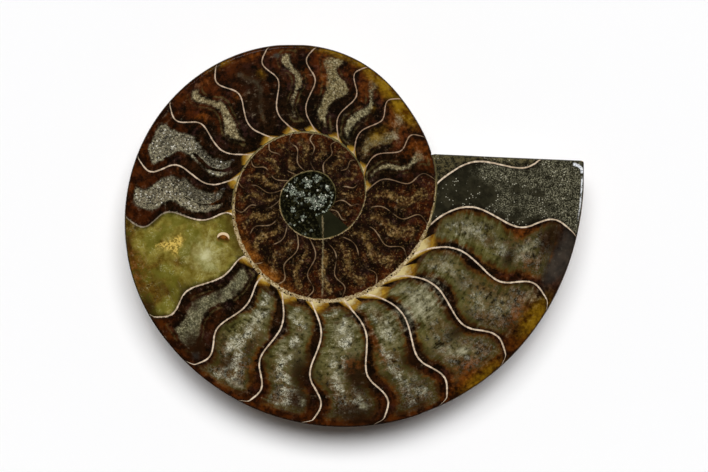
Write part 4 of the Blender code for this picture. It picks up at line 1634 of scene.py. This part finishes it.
def shell_back():
    """The outer shell: tan to dark brown, with growth lines, the sutures' dark frills, and pearly patches."""
    s = Tree("shell_back")
    turn, along, height = s.attribute("lay")
    fine = s.noise(0.4, 3.0, 0.6, seed=21)
    medium = s.noise(3.0, 4.0, 0.6, seed=22)
    large = s.noise(11.0, 3.0, 0.55, seed=23)
    # Growth lines run with the ribs, across the whorl.
    bow = s.math("SINE", along * (2 * math.pi)) * RIB_BOW_DEG
    swept = turn * STORED_DEG - bow - along * along * RIB_LEAN_DEG
    lines = s.noise(1.0, 2.0, 0.6, place=s.join(swept * 0.9, along * 3.0), seed=24)
    bands = s.noise(1.0, 2.0, 0.5, place=s.join(swept * 0.12, along * 1.2), seed=25)
    tone = (medium * 0.35 + bands * 0.4 + lines * 0.25).spread(0.38, 0.62)
    colour = s.mix((62, 36, 18), (148, 108, 66), tone)
    colour = s.mix(colour, (186, 158, 116), (large * 0.6 + bands * 0.4).step(0.50, 0.64) * 0.7)
    colour = s.mix(colour, (40, 22, 12), lines.step(0.42, 0.34) * 0.55)
    # The sutures: frilled dark lines, one to a chamber.
    place = turn * STORED_DEG + (medium - 0.5) * 5.0
    for waves, lean in SUTURE_FRILLS:
        place = place + s.math("SINE", along * waves) * lean
    place = place / SUTURE_DEG
    suture_width = s.math("DIVIDE", 2.6, height + 12.0)
    suture = abs(s.math("FRACT", place) - 0.5).step(suture_width * 0.5, suture_width * 0.2)
    colour = s.mix(colour, (34, 20, 12), suture * large.step(0.42, 0.5) * 0.7)
    # Green and red pearl where the outermost layer has worn through.
    pearl = s.mix((128, 66, 44), (92, 116, 74), s.noise(4.5, 2.0, seed=26).spread(0.42, 0.6))
    pearly = (s.noise(7.0, 3.0, 0.6, seed=27) * 0.7 + fine * 0.3).step(0.53, 0.6)
    colour = s.mix(colour, pearl, pearly * along.step(0.1, 0.3) * 0.55)
    # Dark matrix is left in the deep middle of the navel, and a dark band follows the polished rim.
    off_axis = s.length(*s.from_axis())
    matrix = s.mix((30, 26, 20), (74, 66, 52), fine.spread(0.35, 0.65))
    colour = s.mix(colour, matrix, (off_axis + (medium - 0.5) * 5.0).step(7.0, 3.5))
    colour = s.mix(colour, (24, 18, 13), (along + (fine - 0.5) * 0.03).step(0.05, 0.01) * 0.8)
    colour = s.mix(colour, (30, 20, 13), along.step(0.93, 1.0) * 0.7)
    rough = lines.step(0.46, 0.36) * 0.2 + fine * 0.16 + along.step(0.16, 0.08) * 0.5 + 0.18
    return s.finish(colour, rough, lines * 0.7 + fine * 0.3, 0.06, IOR=1.5, Specular_IOR_Level=0.4)


def sawn_stone():
    """The saw cut: grey matrix like the last chamber's, the thin shell round it, and straight saw marks."""
    s = Tree("sawn_stone")
    edge, depth, along = s.attribute("lay")
    fine = s.noise(0.4, 3.0, 0.6, seed=31)
    medium = s.noise(3.0, 3.0, 0.6, seed=32)
    shade, off_grain = s.grains(0.55, seed=33)
    colour = s.mix((30, 28, 20), (62, 58, 44), (medium * 0.5 + fine * 0.5).spread(0.35, 0.65))
    flecks = shade.step(0.72, 0.8) * off_grain.step(0.42, 0.2) * medium.step(0.4, 0.6)
    colour = s.mix(colour, (150, 146, 124), flecks * 0.7)
    shell = s.mix((140, 116, 82), (206, 184, 146), fine)
    colour = s.mix(colour, shell, (edge + (fine - 0.5) * 0.3).step(0.72, 0.6))
    colour = s.mix(colour, (34, 22, 14), edge.step(0.22, 0.12))
    marks = s.noise(1.0, 2.0, 0.6, place=s.join(depth * 0.15 + along * 0.02, along * 5.0), seed=34)
    colour = s.mix(colour, (86, 82, 68), marks.step(0.56, 0.64) * 0.3)
    rough = marks * 0.2 + depth.step(1.2, 0.5) * 0.5 + 0.24
    return s.finish(colour, rough, marks * 0.7 + fine * 0.3, 0.04, IOR=1.5)


druse_mesh.materials.append(crystal_faces())
polish = cut_face("polished_face", POLISH_IOR, POLISH_GLOSS)
dull_places = cut_face("open_pockets", 1.0, 0.0)
for material in (polish, shell_back(), sawn_stone(), dull_places):  # in the order of FACE to POCKET
    mesh.materials.append(material)

# ---- floor, light and camera
FLOOR_HALF = 3.0  # metres
KEY_WIDTH_DEG = 25.0
VIEW_WIDTH = 0.1535
LENS = 100.0
SENSOR = 36.0
# Each key light's name, the direction it comes from and its strength.
KEYS = (("key_right", (0.19, 0.36, 0.92), 1.75), ("key_left", (-0.14, 0.39, 0.92), 1.57))
# Two layers of sky: the height of a direction, from and to, and the brightness at both.
SKY = ((0.30, 0.90, 0.13, 0.005), (0.04, 0.20, 0.95, 0.0))


def build_floor():
    """A plain pale floor."""
    half = FLOOR_HALF
    corners = [(-half, -half, 0.0), (half, -half, 0.0), (half, half, 0.0), (-half, half, 0.0)]
    floor_mesh = bpy.data.meshes.new("studio_floor")
    floor_mesh.from_pydata(corners, [], [(0, 1, 2, 3)])
    floor = bpy.data.objects.new("studio_floor", floor_mesh)
    bpy.context.scene.collection.objects.link(floor)
    s = Tree("pale_floor")
    colour = s.mix((251, 251, 252), (252, 252, 252), s.noise(60.0, seed=41))
    floor_mesh.materials.append(s.finish(colour, 0.85, Specular_IOR_Level=0.1))
    floor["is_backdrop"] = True


def sun_light(name, place, strength):
    """A wide sun whose light comes from this direction."""
    light = bpy.data.lights.new(name, "SUN")
    light.angle = math.radians(KEY_WIDTH_DEG)
    light.energy = strength
    lamp = bpy.data.objects.new(name, light)
    lamp.rotation_euler = (-Vector(place)).to_track_quat("-Z", "Y").to_euler()
    bpy.context.scene.collection.objects.link(lamp)


def studio_world():
    """A dim sky over a bright horizon."""
    world = bpy.data.worlds.new("studio")
    world.use_nodes = True
    nodes, links = world.node_tree.nodes, world.node_tree.links
    nodes.clear()
    direction = nodes.new("ShaderNodeTexCoord")
    parts = nodes.new("ShaderNodeSeparateXYZ")
    links.new(direction.outputs["Generated"], parts.inputs[0])
    strength = nodes.new("ShaderNodeMath")
    strength.operation = "ADD"
    for i, ends in enumerate(SKY):
        ramp = nodes.new("ShaderNodeMapRange")
        ramp.interpolation_type = "SMOOTHSTEP"
        for name, value in zip(("From Min", "From Max", "To Min", "To Max"), ends):
            ramp.inputs[name].default_value = value
        links.new(parts.outputs["Z"], ramp.inputs["Value"])
        links.new(ramp.outputs["Result"], strength.inputs[i])
    background = nodes.new("ShaderNodeBackground")
    links.new(strength.outputs[0], background.inputs["Strength"])
    output = nodes.new("ShaderNodeOutputWorld")
    links.new(background.outputs[0], output.inputs[0])
    bpy.context.scene.world = world


def build_camera():
    """Straight down on the cut face, as in the photo."""
    camera_data = bpy.data.cameras.new("camera")
    camera_data.lens = LENS
    camera_data.sensor_width = SENSOR
    camera_data.clip_start = 0.01
    camera = bpy.data.objects.new("camera", camera_data)
    camera.location = (0.0, 0.0, CAD_HIGH[2] + VIEW_WIDTH * LENS / SENSOR)
    bpy.context.scene.collection.objects.link(camera)
    bpy.context.scene.camera = camera


build_floor()
for key in KEYS:
    sun_light(*key)
studio_world()
build_camera()
bpy.context.scene.view_settings.view_transform = "Standard"

sizes = [[list(corner) for corner in (CAD_LOW, CAD_HIGH)], [list(corner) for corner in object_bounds()]]
